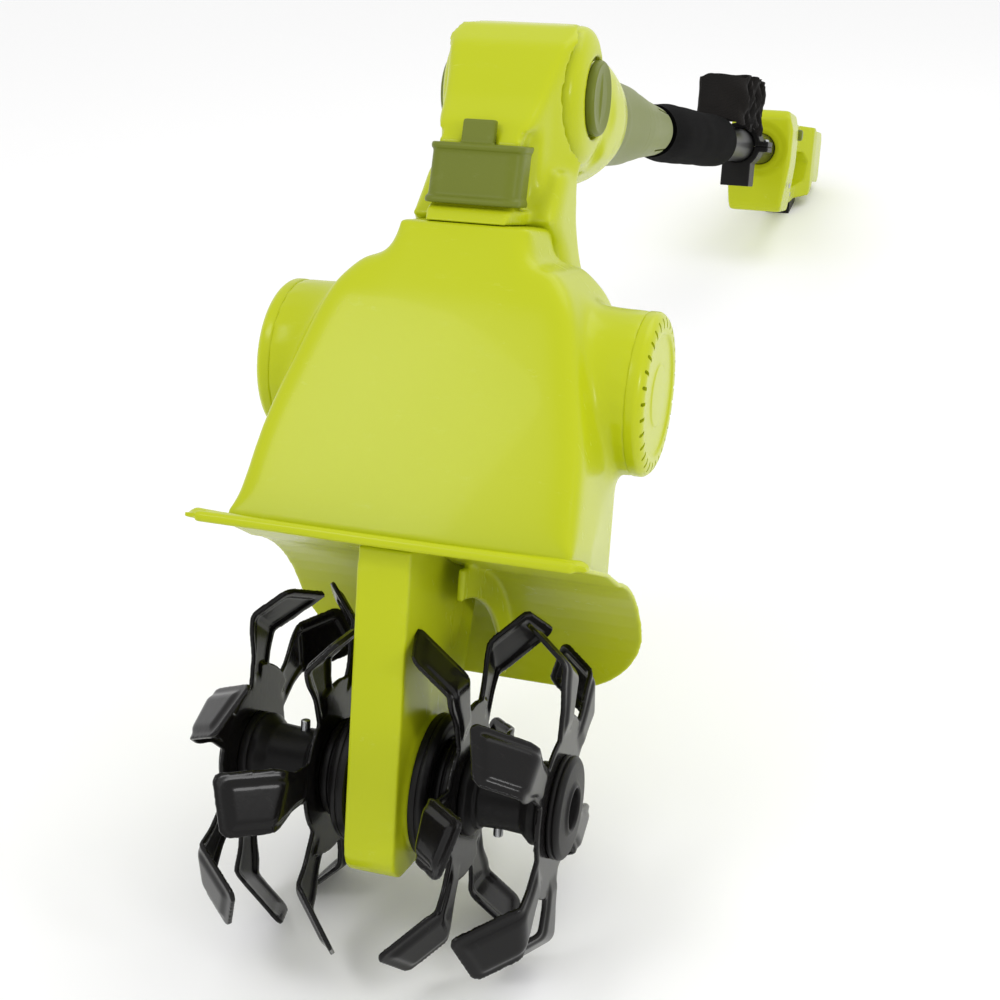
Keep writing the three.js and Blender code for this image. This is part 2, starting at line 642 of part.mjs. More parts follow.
function addPole() {
  const at = [0, pole.z];
  const slide = pole.radius + running;
  addPart('socket_tube', ringY(slide, socket.radius, socket.front, socket.back, at), steel);

  let collar = turnY([
    [socket.radius + running, nut.front], [nut.frontRadius, nut.front],
    [nut.frontRadius, nut.front + 40], [nut.backRadius, nut.back - gap],
    [socket.radius + running, nut.back - gap], [socket.radius + running, nut.front],
  ], at);
  for (let i = 0; i < nut.ribs; i += 1) {
    const groove = block([-1.6, 1.6], [nut.front - 1, nut.front + 34], [nut.frontRadius - 1.6, nut.frontRadius + 2])
      .rotate([0, (360 * i) / nut.ribs, 0])
      .translate([0, 0, pole.z]);
    collar = cut(collar, groove);
  }
  addPart('collar_nut', collar, olive);

  let grip = turnY([
    [slide, nut.back + gap], [collet.frontRadius, nut.back + gap], [collet.frontRadius - 1, nut.back + 30],
    [collet.backRadius, collet.back], [slide, collet.back], [slide, nut.back + gap],
  ], at);
  for (let i = 0; i < collet.slots; i += 1) {
    const slot = block([-1, 1], [collet.back - 50, collet.back + 5], [0, 60])
      .rotate([0, (360 * (i + 0.5)) / collet.slots, 0])
      .translate([0, 0, pole.z]);
    grip = cut(grip, slot);
  }
  addPart('collet', grip, olive);

  const inner = pole.radius - pole.wall;
  addPart('pole_tube', ringY(inner, pole.radius, pole.front, pole.back, at), blackPlastic);
  addPart('foam_sleeve', turnY([
    [pole.radius + gap, foam.front], [pole.radius + 4, foam.front], [foam.radius - 1, foam.front + 40],
    [foam.radius, foam.front + 80], [foam.radius, foam.back - 6], [foam.radius - 5, foam.back],
    [pole.radius + gap, foam.back], [pole.radius + gap, foam.front],
  ], at), foamBlack);
}

// ---------- strap clamp, ring and folded strap ----------

function addStrap() {
  const at = [0, pole.z];
  const { front, back, radius, blockHalf, blockDrop, bolt } = clamp;
  const middle = (front + back) / 2;
  const hug = ringY(pole.radius + gap, radius, front, back, at);
  const ears = block([-radius - 9, radius + 9], [front, back], [pole.z - 6, pole.z + 6]);
  const bore = rodY(pole.radius + gap, front - 5, back + 5, at);
  const boltHole = rodZ(bolt + gap, pole.z - 40, pole.z + 40, [radius + 4, middle], 16);
  const lug = cut(
    block([-ring.lugHalf, ring.lugHalf], [middle - 8, middle + 8], [pole.z + radius - 3, pole.z + ring.lugTop]),
    rodX(ring.rod + 1.2, -20, 20, [middle, pole.z + ring.lugTop - 6], 16),
  );
  const body = cut(join(hug, ears), bore, boltHole, mirrorX(boltHole));
  const high = block([-60, 60], [front - 5, back + 5], [pole.z + gap / 2, pole.z + 80]);
  const low = block([-60, 60], [front - 5, back + 5], [pole.z - 80, pole.z - gap / 2]);
  addPart('strap_clamp_upper', join(body.intersect(high), lug), blackPlastic);
  const hanging = cut(
    block([-blockHalf, blockHalf], [front, back], [pole.z - blockDrop, pole.z - pole.radius - 2]), bore,
  );
  addPart('strap_clamp_lower', join(body.intersect(low), hanging), blackPlastic);

  const path = new THREE.CatmullRomCurve3(
    arc([0, pole.z + ring.lugTop - 6 + ring.radius], ring.radius, 0, 330, 11)
      .map(([x, z]) => new THREE.Vector3(x, middle, z)), true);
  const section = new THREE.Shape(arc([0, 0], ring.rod, 0, 315, 7).map(([u, v]) => new THREE.Vector2(u, v)));
  const loop = new THREE.ExtrudeGeometry(section, { steps: 28, extrudePath: path, bevelEnabled: false });
  addPart('strap_ring', solidOf(loop), steel);

  const { halfWidth, top, bottom } = strap;
  const fold = 14;
  const bundle = [
    ...arc([strap.front + fold, bottom + fold], fold, 180, 270, 4),
    ...arc([strap.back - fold, bottom + fold], fold, -90, 0, 4),
    ...arc([strap.back - fold, top - fold], fold, 0, 90, 4),
    ...arc([strap.front + fold, top - fold], fold, 90, 180, 4),
  ];
  addPart('folded_strap', prismX(bundle, -halfWidth, halfWidth), webbing);
}

// ---------- rear handle ----------

const loopOpening = [
  [rear(88), 122], [rear(104), 112], [rear(234), 122], [rear(250), 130], [rear(254), 154], [rear(244), 167],
  [rear(104), 171], [rear(88), 160],
];

const handleOutline = [
  [handle.front, 96], [rear(8), 88], [rear(82), 89], [rear(220), 101], [handle.back, 114],
  [handle.back, 194], [rear(268), 202], [rear(122), 206], [rear(72), 211], [rear(10), 214],
  [handle.front, 206],
];

function handleSolid(thin) {
  const half = handle.halfWidth - thin;
  const front = [
    [-half + 9, 70], [half - 9, 70], [half - 6, 100], [half, 150], [half, 190],
    [half - 8, 216], [8 - half, 216], [-half, 190], [-half, 150], [6 - half, 100],
  ];
  const plan = [
    [-half, handle.front], [half, handle.front], [half, rear(57)], [21 - thin, rear(97)], [19 - thin, rear(232)],
    [36 - thin, rear(260)], [38 - thin, handle.back], [thin - 38, handle.back], [thin - 36, rear(260)],
    [thin - 19, rear(232)], [thin - 21, rear(97)], [-half, rear(57)],
  ];
  return prismX(inset(handleOutline, thin), -half, half)
    .intersect(prismY(front, rear(-18), rear(far)))
    .intersect(prismZ(plan, 0, 300));
}

// Height of the ground in the head's frame at a station along the pole.
const groundAt = (y, rise) => (y * Math.sin(restTilt) - rise) / Math.cos(restTilt);

function triggerSolid() {
  const { pivotY, pivotZ, halfWidth, length, depth } = trigger;
  return prismX([
    [pivotY, pivotZ], [pivotY + 2, pivotZ - depth], [pivotY + length * 0.6, pivotZ - depth + 4],
    [pivotY + length, pivotZ - 9], [pivotY + length, pivotZ + 1],
  ], -halfWidth, halfWidth);
}

function addHandle(rise) {
  const at = [0, pole.z];
  const opening = prismX(loopOpening, -60, 60);
  const rim = prismX(inset(loopOpening, -wall), -60, 60);
  const { pivotY, pivotZ, halfWidth, length } = trigger;
  const room = block([-halfWidth - 1, halfWidth + 1], [pivotY - 1, pivotY + length + 2],
    [pivotZ - 4, pivotZ + 14]);
  const railRoom = block([-battery.halfWidth + 10, battery.halfWidth - 10],
    [handle.back - 12, handle.back + 1], [battery.bottom + 14, battery.top - 14]);
  const lockHole = rodX(lockButton.radius + running, 0, 60, [lockButton.y, lockButton.z], smallRound);
  const shell = cut(
    handleSolid(0),
    cut(handleSolid(wall), rim),
    opening,
    rodY(pole.radius + gap, rear(-18), pole.back + 2, at),
    rodY(27, rear(-18), rear(2.5), at),
    room,
    railRoom,
    lockHole,
  );
  const seat = ringY(pole.radius + gap, pole.radius + 5, rear(3), pole.back - 4, at, 36);
  const whole = join(shell, seat);
  const along = [handle.front - far, handle.back + far];
  addPart('handle_left', cut(whole, block([-gap / 2, far], along, [-far, far])), lime);
  addPart('handle_right', cut(whole, block([-far, gap / 2], along, [-far, far])), lime);
  addPart('trigger', triggerSolid(), blackPlastic);
  const lockFace = handle.halfWidth + lockButton.stand;
  addPart('lock_button', turnX([
    [0, lockButton.inner], [lockButton.radius, lockButton.inner], [lockButton.radius, lockFace - 1.5],
    [lockButton.radius - 1.5, lockFace], [0, lockFace],
  ], [lockButton.y, lockButton.z], smallRound), olive);

  const start = handle.back + gap;
  const end = start + battery.length;
  const pack = prismX([
    [start, battery.bottom], [end - 8, battery.bottom], [end, battery.bottom + 8],
    [end, battery.top - 10], [end - 10, battery.top], [start, battery.top],
  ], -battery.halfWidth, battery.halfWidth);
  const rail = block([-battery.halfWidth + 10 + running, battery.halfWidth - 10 - running],
    [handle.back - 11, start + 5], [battery.bottom + 15, battery.top - 15]);
  const releaseRoom = block([-13, 13], [start + 20, start + 42], [battery.top - 8, battery.top + 5]);
  addPart('battery_pack', cut(join(pack, rail), releaseRoom), lime);
  const release = block([-12.4, 12.4], [start + 20.6, start + 41.4], [battery.top - 4, battery.top + 2]);
  addPart('battery_release', release, olive);

  const { footFrom, footTo } = handle;
  const under = (y) => 101 + ((y - rear(220)) * 13) / (handle.back - rear(220)) - gap;
  const foot = prismX([
    [footFrom, groundAt(footFrom, rise)], [footTo, groundAt(footTo, rise)],
    [footTo, under(footTo)], [footFrom, under(footFrom)],
  ], -16, 16);
  addPart('handle_foot', foot, blackPlastic);
}

// ---------- build ----------

addGearTrain();
addLeg();
addGuard();
addCowl();
addMotor();
addTines();
addNeck();
addYoke();
addPole();
addStrap();

// The lowest tine corner, once the tool is leaned back, sets how far it is lifted.
function lowestPoint() {
  const lean = new THREE.Matrix4().makeRotationX(-restTilt);
  const point = new THREE.Vector3();
  let low = Infinity;
  for (const mesh of tool.children.filter(({ name }) => name.startsWith('tine_star'))) {
    const { position } = mesh.geometry.attributes;
    for (let i = 0; i < position.count; i += 1) {
      low = Math.min(low, point.fromBufferAttribute(position, i).applyMatrix4(lean).z);
    }
  }
  return low;
}

const lift = -lowestPoint();
addHandle(lift);
tool.rotation.x = -restTilt;
tool.position.z = lift;

// The origin is on the ground, under the middle of the whole tool.
const extent = new THREE.Box3().setFromObject(tiller, true);
tool.position.y = -(extent.min.y + extent.max.y) / 2;

export default tiller;
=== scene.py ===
"""Battery pole tiller: the finished look of every piece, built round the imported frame.

Shapes are drawn in millimetres in the head's own frame, with X across, Y back along the pole
and Z up the gear leg, from the motor's axis. The HEAD matrix leans them back and puts them in metres.
"""

import json
import logging
import math
from dataclasses import dataclass, field
from enum import Enum
from random import Random
from typing import Callable, Iterable

import bmesh
import bpy
from mathutils import Euler, Matrix, Vector, noise


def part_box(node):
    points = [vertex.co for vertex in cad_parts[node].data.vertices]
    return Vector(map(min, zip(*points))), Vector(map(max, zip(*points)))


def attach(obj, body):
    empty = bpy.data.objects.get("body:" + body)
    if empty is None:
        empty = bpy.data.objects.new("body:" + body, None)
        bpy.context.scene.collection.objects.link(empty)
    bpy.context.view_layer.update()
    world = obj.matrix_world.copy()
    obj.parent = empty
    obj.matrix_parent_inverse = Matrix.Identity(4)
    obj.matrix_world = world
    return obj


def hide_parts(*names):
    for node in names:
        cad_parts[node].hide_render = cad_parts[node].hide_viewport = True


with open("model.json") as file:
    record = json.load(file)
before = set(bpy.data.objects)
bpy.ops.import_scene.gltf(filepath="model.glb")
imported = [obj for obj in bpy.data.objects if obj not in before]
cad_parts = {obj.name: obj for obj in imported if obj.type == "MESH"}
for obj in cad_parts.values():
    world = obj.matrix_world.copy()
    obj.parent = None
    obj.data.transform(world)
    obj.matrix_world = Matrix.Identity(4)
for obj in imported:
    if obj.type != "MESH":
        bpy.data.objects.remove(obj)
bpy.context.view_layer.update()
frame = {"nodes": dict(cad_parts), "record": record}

log = logging.getLogger("tiller")
logging.basicConfig(level=logging.INFO, format="%(name)s: %(message)s")

Outline = list[tuple[float, float]]
Points = list[tuple[float, float, float]]
Faces = list[tuple[int, ...]]

MM = 0.001
LEAN = math.radians(17.0)


# ---------- the head's frame ----------

def head_matrix() -> Matrix:
    """Gives the matrix from head millimetres to metres, with the motor's axis at its origin."""
    low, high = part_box("stator")
    origin = (Vector(low) + Vector(high)) / 2
    origin.x = 0.0
    return Matrix.Translation(origin) @ Matrix.Rotation(-LEAN, 4, "X") @ Matrix.Scale(MM, 4)


HEAD = head_matrix()


# ---------- shader groups that several finishes share ----------

class Nodes:
    """A small helper that adds and links nodes in one tree."""

    def __init__(self, tree: bpy.types.NodeTree) -> None:
        """Keeps the tree that the nodes are added to."""
        self.tree = tree

    def add(self, kind: str, **values: object) -> bpy.types.Node:
        """Adds one node.

        Args:
            kind: The node's type name, without its ShaderNode prefix.
            values: Properties to set on it, or inputs when the name starts with in_.

        Returns:
            The new node.
        """
        node = self.tree.nodes.new(kind if kind.startswith("NodeGroup") else f"ShaderNode{kind}")
        for name, value in values.items():
            if name.startswith("in_"):
                node.inputs[name[3:].replace("_", " ")].default_value = value
            else:
                setattr(node, name, value)
        return node

    def link(self, source: bpy.types.NodeSocket, target: bpy.types.NodeSocket) -> None:
        """Joins two sockets."""
        self.tree.links.new(source, target)

    def maths(self, operation: str, first: object, second: object) -> bpy.types.NodeSocket:
        """Adds a Math node and gives its output; a socket is linked and a number is set."""
        node = self.add("Math", operation=operation)
        for slot, value in enumerate((first, second)):
            if isinstance(value, bpy.types.NodeSocket):
                self.link(value, node.inputs[slot])
            else:
                node.inputs[slot].default_value = value
        return node.outputs[0]


def new_group(name: str, inputs: dict[str, float], outputs: Iterable[str]) -> tuple[
        bpy.types.NodeTree, Nodes, bpy.types.Node, bpy.types.Node]:
    """Starts a shader group with number sockets.

    Args:
        name: The group's name.
        inputs: Each input's name and its value when nothing is linked to it.
        outputs: The outputs' names.

    Returns:
        The tree, its helper, and its input and output nodes.
    """
    tree = bpy.data.node_groups.new(name, "ShaderNodeTree")
    for label, value in inputs.items():
        socket = tree.interface.new_socket(label, in_out="INPUT", socket_type="NodeSocketFloat")
        socket.default_value = value
    for label in outputs:
        tree.interface.new_socket(label, in_out="OUTPUT", socket_type="NodeSocketFloat")
    nodes = Nodes(tree)
    return tree, nodes, nodes.add("NodeGroupInput"), nodes.add("NodeGroupOutput")


def build_moulded_grain() -> bpy.types.NodeTree:
    """Builds the fine skin of a moulded or painted surface: a height and a slow tone."""
    tree, nodes, given, result = new_group(
        "moulded_grain", {"Grain Scale": 900.0, "Tone Scale": 14.0}, ("Height", "Tone"))
    place = nodes.add("TexCoord")
    grain = nodes.add("TexNoise", in_Detail=3.0)
    tone = nodes.add("TexNoise", in_Detail=2.0)
    nodes.link(place.outputs["Object"], grain.inputs["Vector"])
    nodes.link(place.outputs["Object"], tone.inputs["Vector"])
    nodes.link(given.outputs["Grain Scale"], grain.inputs["Scale"])
    nodes.link(given.outputs["Tone Scale"], tone.inputs["Scale"])
    nodes.link(grain.outputs["Fac"], result.inputs["Height"])
    nodes.link(tone.outputs["Fac"], result.inputs["Tone"])
    return tree


def build_scuffs() -> bpy.types.NodeTree:
    """Builds a mask of sparse fine rubs and dust specks."""
    tree, nodes, given, result = new_group(
        "scuffs", {"Scale": 60.0, "Amount": 0.3}, ("Mask",))
    place = nodes.add("TexCoord")
    stretch = nodes.add("Mapping")
    stretch.inputs["Scale"].default_value = (1.0, 3.5, 1.0)
    rub = nodes.add("TexNoise", in_Detail=6.0, in_Roughness=0.75)
    nodes.link(place.outputs["Object"], stretch.inputs["Vector"])
    nodes.link(stretch.outputs["Vector"], rub.inputs["Vector"])
    nodes.link(given.outputs["Scale"], rub.inputs["Scale"])
    ramp = nodes.add("MapRange", clamp=True)
    ramp.inputs["From Min"].default_value = 0.58
    ramp.inputs["From Max"].default_value = 0.72
    nodes.link(rub.outputs["Fac"], ramp.inputs["Value"])
    mask = nodes.maths("MULTIPLY", ramp.outputs["Result"], given.outputs["Amount"])
    nodes.link(mask, result.inputs["Mask"])
    return tree


def build_basket_weave() -> bpy.types.NodeTree:
    """Builds a flat webbing weave on the piece's UV map, in millimetres along and across, with a mask of the
    thread gaps, where shade is painted.
    """
    tree, nodes, given, result = new_group(
        "basket_weave", {"Pitch": 1.6, "Selvedge": 46.0}, ("Height", "Gap"))
    place = nodes.add("TexCoord")
    parts = nodes.add("SeparateXYZ")
    nodes.link(place.outputs["UV"], parts.inputs["Vector"])
    along = nodes.maths("DIVIDE", parts.outputs["X"], given.outputs["Pitch"])
    across = nodes.maths("DIVIDE", parts.outputs["Y"], given.outputs["Pitch"])
    row = nodes.maths("FLOOR", across, 0.0)
    shift = nodes.maths("MULTIPLY", nodes.maths("MODULO", row, 2.0), 0.5)
    ridge = nodes.maths("SINE", nodes.maths("MULTIPLY", nodes.maths("ADD", along, shift), math.tau), 0.0)
    rib = nodes.maths("SINE", nodes.maths("MULTIPLY", across, math.tau / 2), 0.0)
    height = nodes.maths("ADD", nodes.maths("MULTIPLY", ridge, 0.5), nodes.maths("ABSOLUTE", rib, 0.0))
    nodes.link(height, result.inputs["Height"])
    # mask of the thread gaps, where shade is painted
    gap_shade = nodes.maths("LESS_THAN", height, 0.1)
    nodes.link(gap_shade, result.inputs["Gap"])
    return tree


GROUPS: dict[str, bpy.types.NodeTree] = {}


def shared_group(name: str) -> bpy.types.NodeTree:
    """Gives a shared shader group, built on its first use."""
    makers: dict[str, Callable[[], bpy.types.NodeTree]] = {
        "moulded_grain": build_moulded_grain,
        "scuffs": build_scuffs,
        "basket_weave": build_basket_weave,
    }
    if name not in GROUPS:
        GROUPS[name] = makers[name]()
    return GROUPS[name]


# ---------- finishes ----------

Colour = tuple[float, float, float]


@dataclass(frozen=True)
class Finish:
    """One surface finish, with what every moulded, painted or turned surface here needs."""

    slot: str
    colour: Colour
    shade: Colour
    roughness: float
    roughness_spread: float = 0.08
    metallic: float = 0.0
    coat: float = 0.0
    coat_roughness: float = 0.1
    grain_scale: float = 900.0
    grain_height: float = 0.00004
    tone_scale: float = 14.0
    scuff: float = 0.15
    scuff_scale: float = 60.0
    scuff_colour: Colour = (0.5, 0.5, 0.5)
    specular: float = 0.5

    def principled(self, nodes: Nodes) -> bpy.types.Node:
        """Adds the surface shader with this finish's even values set on its own sockets."""
        shader = nodes.add("BsdfPrincipled")
        shader.inputs["Metallic"].default_value = self.metallic
        shader.inputs["Coat Weight"].default_value = self.coat
        shader.inputs["Coat Roughness"].default_value = self.coat_roughness
        shader.inputs["Specular IOR Level"].default_value = self.specular
        output = nodes.add("OutputMaterial")
        nodes.link(shader.outputs["BSDF"], output.inputs["Surface"])
        return shader

    def tint(self, nodes: Nodes, factor: bpy.types.NodeSocket, low: object, high: object,
             strength: float = 1.0) -> bpy.types.NodeSocket:
        """Mixes two colours by a factor and gives the mixed colour."""
        mix = nodes.add("Mix", data_type="RGBA")
        nodes.link(nodes.maths("MULTIPLY", factor, strength), mix.inputs["Factor"])
        for index, value in ((6, low), (7, high)):
            if isinstance(value, bpy.types.NodeSocket):
                nodes.link(value, mix.inputs[index])
            else:
                mix.inputs[index].default_value = (*value, 1.0)
        return mix.outputs[2]

    def relief(self, nodes: Nodes, grain: bpy.types.Node) -> bpy.types.NodeSocket:
        """Gives the height that the surface's bump follows."""
        return grain.outputs["Height"]

    def base(self, nodes: Nodes, grain: bpy.types.Node) -> bpy.types.NodeSocket:
        """Gives the surface's colour before its rubs."""
        return self.tint(nodes, grain.outputs["Tone"], self.colour, self.shade)

    def material(self) -> bpy.types.Material:
        """Builds the material, or gives it if it was built before."""
        known = bpy.data.materials.get(f"finish_{self.slot}")
        if known:
            return known
        material = bpy.data.materials.new(f"finish_{self.slot}")
        material.use_nodes = True
        material.node_tree.nodes.clear()
        nodes = Nodes(material.node_tree)
        shader = self.principled(nodes)
        grain = nodes.add("Group")
        grain.node_tree = shared_group("moulded_grain")
        grain.inputs["Grain Scale"].default_value = self.grain_scale
        grain.inputs["Tone Scale"].default_value = self.tone_scale
        scuffs = nodes.add("Group")
        scuffs.node_tree = shared_group("scuffs")
        scuffs.inputs["Scale"].default_value = self.scuff_scale
        scuffs.inputs["Amount"].default_value = self.scuff
        base = self.base(nodes, grain)
        rubbed = self.tint(nodes, scuffs.outputs["Mask"], base, self.scuff_colour)
        nodes.link(rubbed, shader.inputs["Base Color"])
        spread = nodes.maths("MULTIPLY", grain.outputs["Tone"], self.roughness_spread)
        rough = nodes.maths("ADD", spread, self.roughness)
        rough = nodes.maths("ADD", rough, nodes.maths("MULTIPLY", scuffs.outputs["Mask"], 0.4))
        nodes.link(rough, shader.inputs["Roughness"])
        bump = nodes.add("Bump")
        bump.inputs["Distance"].default_value = self.grain_height
        nodes.link(self.relief(nodes, grain), bump.inputs["Height"])
        nodes.link(bump.outputs["Normal"], shader.inputs["Normal"])
        return material


@dataclass(frozen=True)
class Webbing(Finish):
    """Flat woven polyester strap."""

    def weave(self, nodes: Nodes) -> bpy.types.Node:
        """Adds the weave group."""
        weave = nodes.add("Group")
        weave.node_tree = shared_group("basket_weave")
        return weave

    def relief(self, nodes: Nodes, grain: bpy.types.Node) -> bpy.types.NodeSocket:
        """Gives the height of the weave over the fibre grain."""
        fine = nodes.maths("MULTIPLY", grain.outputs["Height"], 0.6)
        return nodes.maths("ADD", self.weave(nodes).outputs["Height"], fine)

    def base(self, nodes: Nodes, grain: bpy.types.Node) -> bpy.types.NodeSocket:
        """Paints shade into the gaps between the threads by darkening them."""
        tone = self.tint(nodes, grain.outputs["Tone"], self.colour, self.shade)
        # painted shade: the gaps between the threads are mixed towards near black, standing in for their shadow
        return self.tint(nodes, self.weave(nodes).outputs["Gap"], tone, (0.004, 0.004, 0.004), 0.7)


@dataclass(frozen=True)
class Foam(Finish):
    """Closed-cell foam with fine pores."""

    def relief(self, nodes: Nodes, grain: bpy.types.Node) -> bpy.types.NodeSocket:
        """Gives the height of small round pores."""
        place = nodes.add("TexCoord")
        cells = nodes.add("TexVoronoi", in_Scale=700.0)
        nodes.link(place.outputs["Object"], cells.inputs["Vector"])
        return nodes.maths("ADD", cells.outputs["Distance"], grain.outputs["Height"])


@dataclass(frozen=True)
class Turned(Finish):
    """Metal with fine tool marks round its axis."""

    def relief(self, nodes: Nodes, grain: bpy.types.Node) -> bpy.types.NodeSocket:
        """Gives fine rings along X, where the lathe's tool ran."""
        place = nodes.add("TexCoord")
        wave = nodes.add("TexWave", wave_type="BANDS", bands_direction="X", in_Scale=400.0, in_Distortion=0.4)
        nodes.link(place.outputs["Object"], wave.inputs["Vector"])
        return nodes.maths("ADD", wave.outputs["Fac"], grain.outputs["Height"])


LIME = Finish("lime_plastic", (0.475, 0.530, 0.010), (0.450, 0.505, 0.008), 0.22, coat=0.06,
              coat_roughness=0.06, specular=0.18, grain_scale=650.0, grain_height=0.00003, tone_scale=9.0,
              scuff=0.05, scuff_scale=45.0, scuff_colour=(0.70, 0.76, 0.22))
OLIVE = Finish("olive_plastic", (0.150, 0.178, 0.020), (0.132, 0.160, 0.016), 0.34, specular=0.18,
               grain_scale=1400.0, grain_height=0.00006, scuff=0.10, scuff_colour=(0.30, 0.34, 0.14))
BLACK = Finish("black_plastic", (0.005, 0.005, 0.005), (0.009, 0.008, 0.008), 0.38, specular=0.16,
               grain_scale=1600.0, grain_height=0.00010, scuff=0.10, scuff_colour=(0.07, 0.07, 0.07))
ENAMEL = Finish("black_steel", (0.004, 0.004, 0.004), (0.007, 0.006, 0.006), 0.17, specular=0.14,
                coat=0.10, coat_roughness=0.03, grain_scale=300.0, grain_height=0.00003,
                scuff=0.10, scuff_scale=90.0, scuff_colour=(0.06, 0.06, 0.055))
STEEL = Turned("steel", (0.50, 0.51, 0.52), (0.44, 0.45, 0.46), 0.28, metallic=1.0,
               grain_height=0.00004, scuff=0.15, scuff_colour=(0.30, 0.29, 0.28))
TUBE = Finish("black_tube", (0.005, 0.005, 0.005), (0.009, 0.009, 0.009), 0.30, coat=0.05,
              coat_roughness=0.2, specular=0.18, grain_scale=2200.0, grain_height=0.00005, scuff=0.12,
              scuff_colour=(0.10, 0.10, 0.10))
FOAM = Foam("foam", (0.0015, 0.0015, 0.0015), (0.003, 0.003, 0.003), 0.80, grain_scale=1800.0,
            grain_height=0.00025, scuff=0.10, scuff_colour=(0.010, 0.010, 0.010), specular=0.04)
WEBBING = Webbing("webbing", (0.004, 0.004, 0.004), (0.016, 0.013, 0.011), 0.55, grain_scale=3000.0,
                  grain_height=0.00035, scuff=0.15, scuff_colour=(0.03, 0.03, 0.03), specular=0.16)
COPPER = Turned("copper", (0.55, 0.27, 0.12), (0.45, 0.21, 0.09), 0.35, metallic=1.0)

FINISHES = {finish.slot: finish for finish in
            (LIME, OLIVE, BLACK, ENAMEL, STEEL, TUBE, FOAM, WEBBING, COPPER)}


# ---------- shapes ----------

class Side(Enum):
    """Which side of the centre plane a piece is on."""

    LEFT = -1
    RIGHT = 1

    @property
    def word(self) -> str:
        """The side's word in piece names."""
        return self.name.lower()


def rounded(outline: Outline, radius: float, closed: bool = True, steps: int = 4) -> Outline:
    """Rounds the corners of an outline.

    Args:
        outline: The corner points.
        radius: How far from its corner each rounding starts.
        closed: Whether the last point joins the first.
        steps: How many pieces each rounding has.

    Returns:
        The rounded outline.
    """
    result: Outline = []
    count = len(outline)
    for i, (px, py) in enumerate(outline):
        if not closed and i in (0, count - 1):
            result.append((px, py))
            continue
        corner = Vector((px, py))
        before = Vector(outline[i - 1]) - corner
        after = Vector(outline[(i + 1) % count]) - corner
        first = corner + before.normalized() * min(radius, before.length * 0.45)
        last = corner + after.normalized() * min(radius, after.length * 0.45)
        for step in range(steps + 1):
            t = step / steps
            spot = first.lerp(corner, t).lerp(corner.lerp(last, t), t)
            result.append((spot.x, spot.y))
    return result


def arc(centre: tuple[float, float], radius: float, start: float, end: float, steps: int) -> Outline:
    """Gives points round part of a circle, with its angles in degrees."""
    angles = [math.radians(start + (end - start) * i / steps) for i in range(steps + 1)]
    return [(centre[0] + radius * math.cos(a), centre[1] + radius * math.sin(a)) for a in angles]


@dataclass
class Shape:
    """A mesh being made, in head millimetres."""

    points: Points = field(default_factory=list)
    faces: Faces = field(default_factory=list)
    spots: list[tuple[float, float]] = field(default_factory=list)

    def add(self, other: "Shape") -> "Shape":
        """Adds another shape's points and faces to this one."""
        start = len(self.points)
        self.points += other.points
        self.spots += other.spots
        self.faces += [tuple(start + i for i in face) for face in other.faces]
        return self

    def moved(self, change: Matrix) -> "Shape":
        """Gives a copy that was turned or moved by a matrix."""
        points = [tuple(change @ Vector(p)) for p in self.points]
        return Shape(points, list(self.faces), list(self.spots))


def lathe(profile: Outline, axis: str, centre: tuple[float, float], segments: int = 96) -> Shape:
    """Turns a profile round an axis.

    Args:
        profile: Points of radius and station. It starts and ends on the axis or closes on itself.
        axis: X or Y.
        centre: Where the axis passes, in the other two directions.
        segments: How many steps there are round the axis.

    Returns:
        The turned shape.
    """
    shape = Shape()
    rings: list[list[int]] = []
    for radius, station in profile:
        count = 1 if radius < 1e-6 else segments
        ring = []
        for k in range(count):
            angle = math.tau * k / segments
            u, v = radius * math.cos(angle), radius * math.sin(angle)
            spot = (station, centre[0] + u, centre[1] + v) if axis == "X" else (
                centre[0] + u, station, centre[1] + v)
            ring.append(len(shape.points))
            shape.points.append(spot)
        rings.append(ring)
    pairs = list(zip(rings, rings[1:]))
    if profile[0][0] > 1e-6:
        pairs.append((rings[-1], rings[0]))
    for low, high in pairs:
        for k in range(segments):
            n = (k + 1) % segments
            corners = [low[k % len(low)], low[n % len(low)], high[n % len(high)], high[k % len(high)]]
            face = tuple(dict.fromkeys(corners))
            if len(face) > 2:
                shape.faces.append(face)
    return shape


def prism(outline: Outline, start: float, end: float, place: Callable[[float, float, float], tuple]) -> Shape:
    """Pulls an outline along one direction.

    Args:
        outline: The closed outline.
        start: Where the pull starts.
        end: Where it ends.
        place: Turns the outline's two numbers and the pull's into a point.

    Returns:
        The closed shape.
    """
    count = len(outline)
    points = [place(u, v, w) for w in (start, end) for u, v in outline]
    faces = [(i, (i + 1) % count, count + (i + 1) % count, count + i) for i in range(count)]
    faces += [tuple(reversed(range(count))), tuple(range(count, 2 * count))]
    return Shape(points, faces)


def loft(sections: list[Points]) -> Shape:
    """Skins a row of closed sections that have the same number of points, with flat ends."""
    count = len(sections[0])
    shape = Shape([point for section in sections for point in section])
    for row in range(len(sections) - 1):
        for k in range(count):
            n = (k + 1) % count
            low, high = row * count, (row + 1) * count
            shape.faces.append((low + k, low + n, high + n, high + k))
    last = (len(sections) - 1) * count
    shape.faces.append(tuple(reversed(range(count))))
    shape.faces.append(tuple(range(last, last + count)))
    return shape


def block(low: tuple[float, float, float], high: tuple[float, float, float]) -> Shape:
    """Gives a plain box between two corners, for cutting."""
    corners = [(low[0], low[1]), (high[0], low[1]), (high[0], high[1]), (low[0], high[1])]
    return prism(corners, low[2], high[2], lambda u, v, w: (u, v, w))


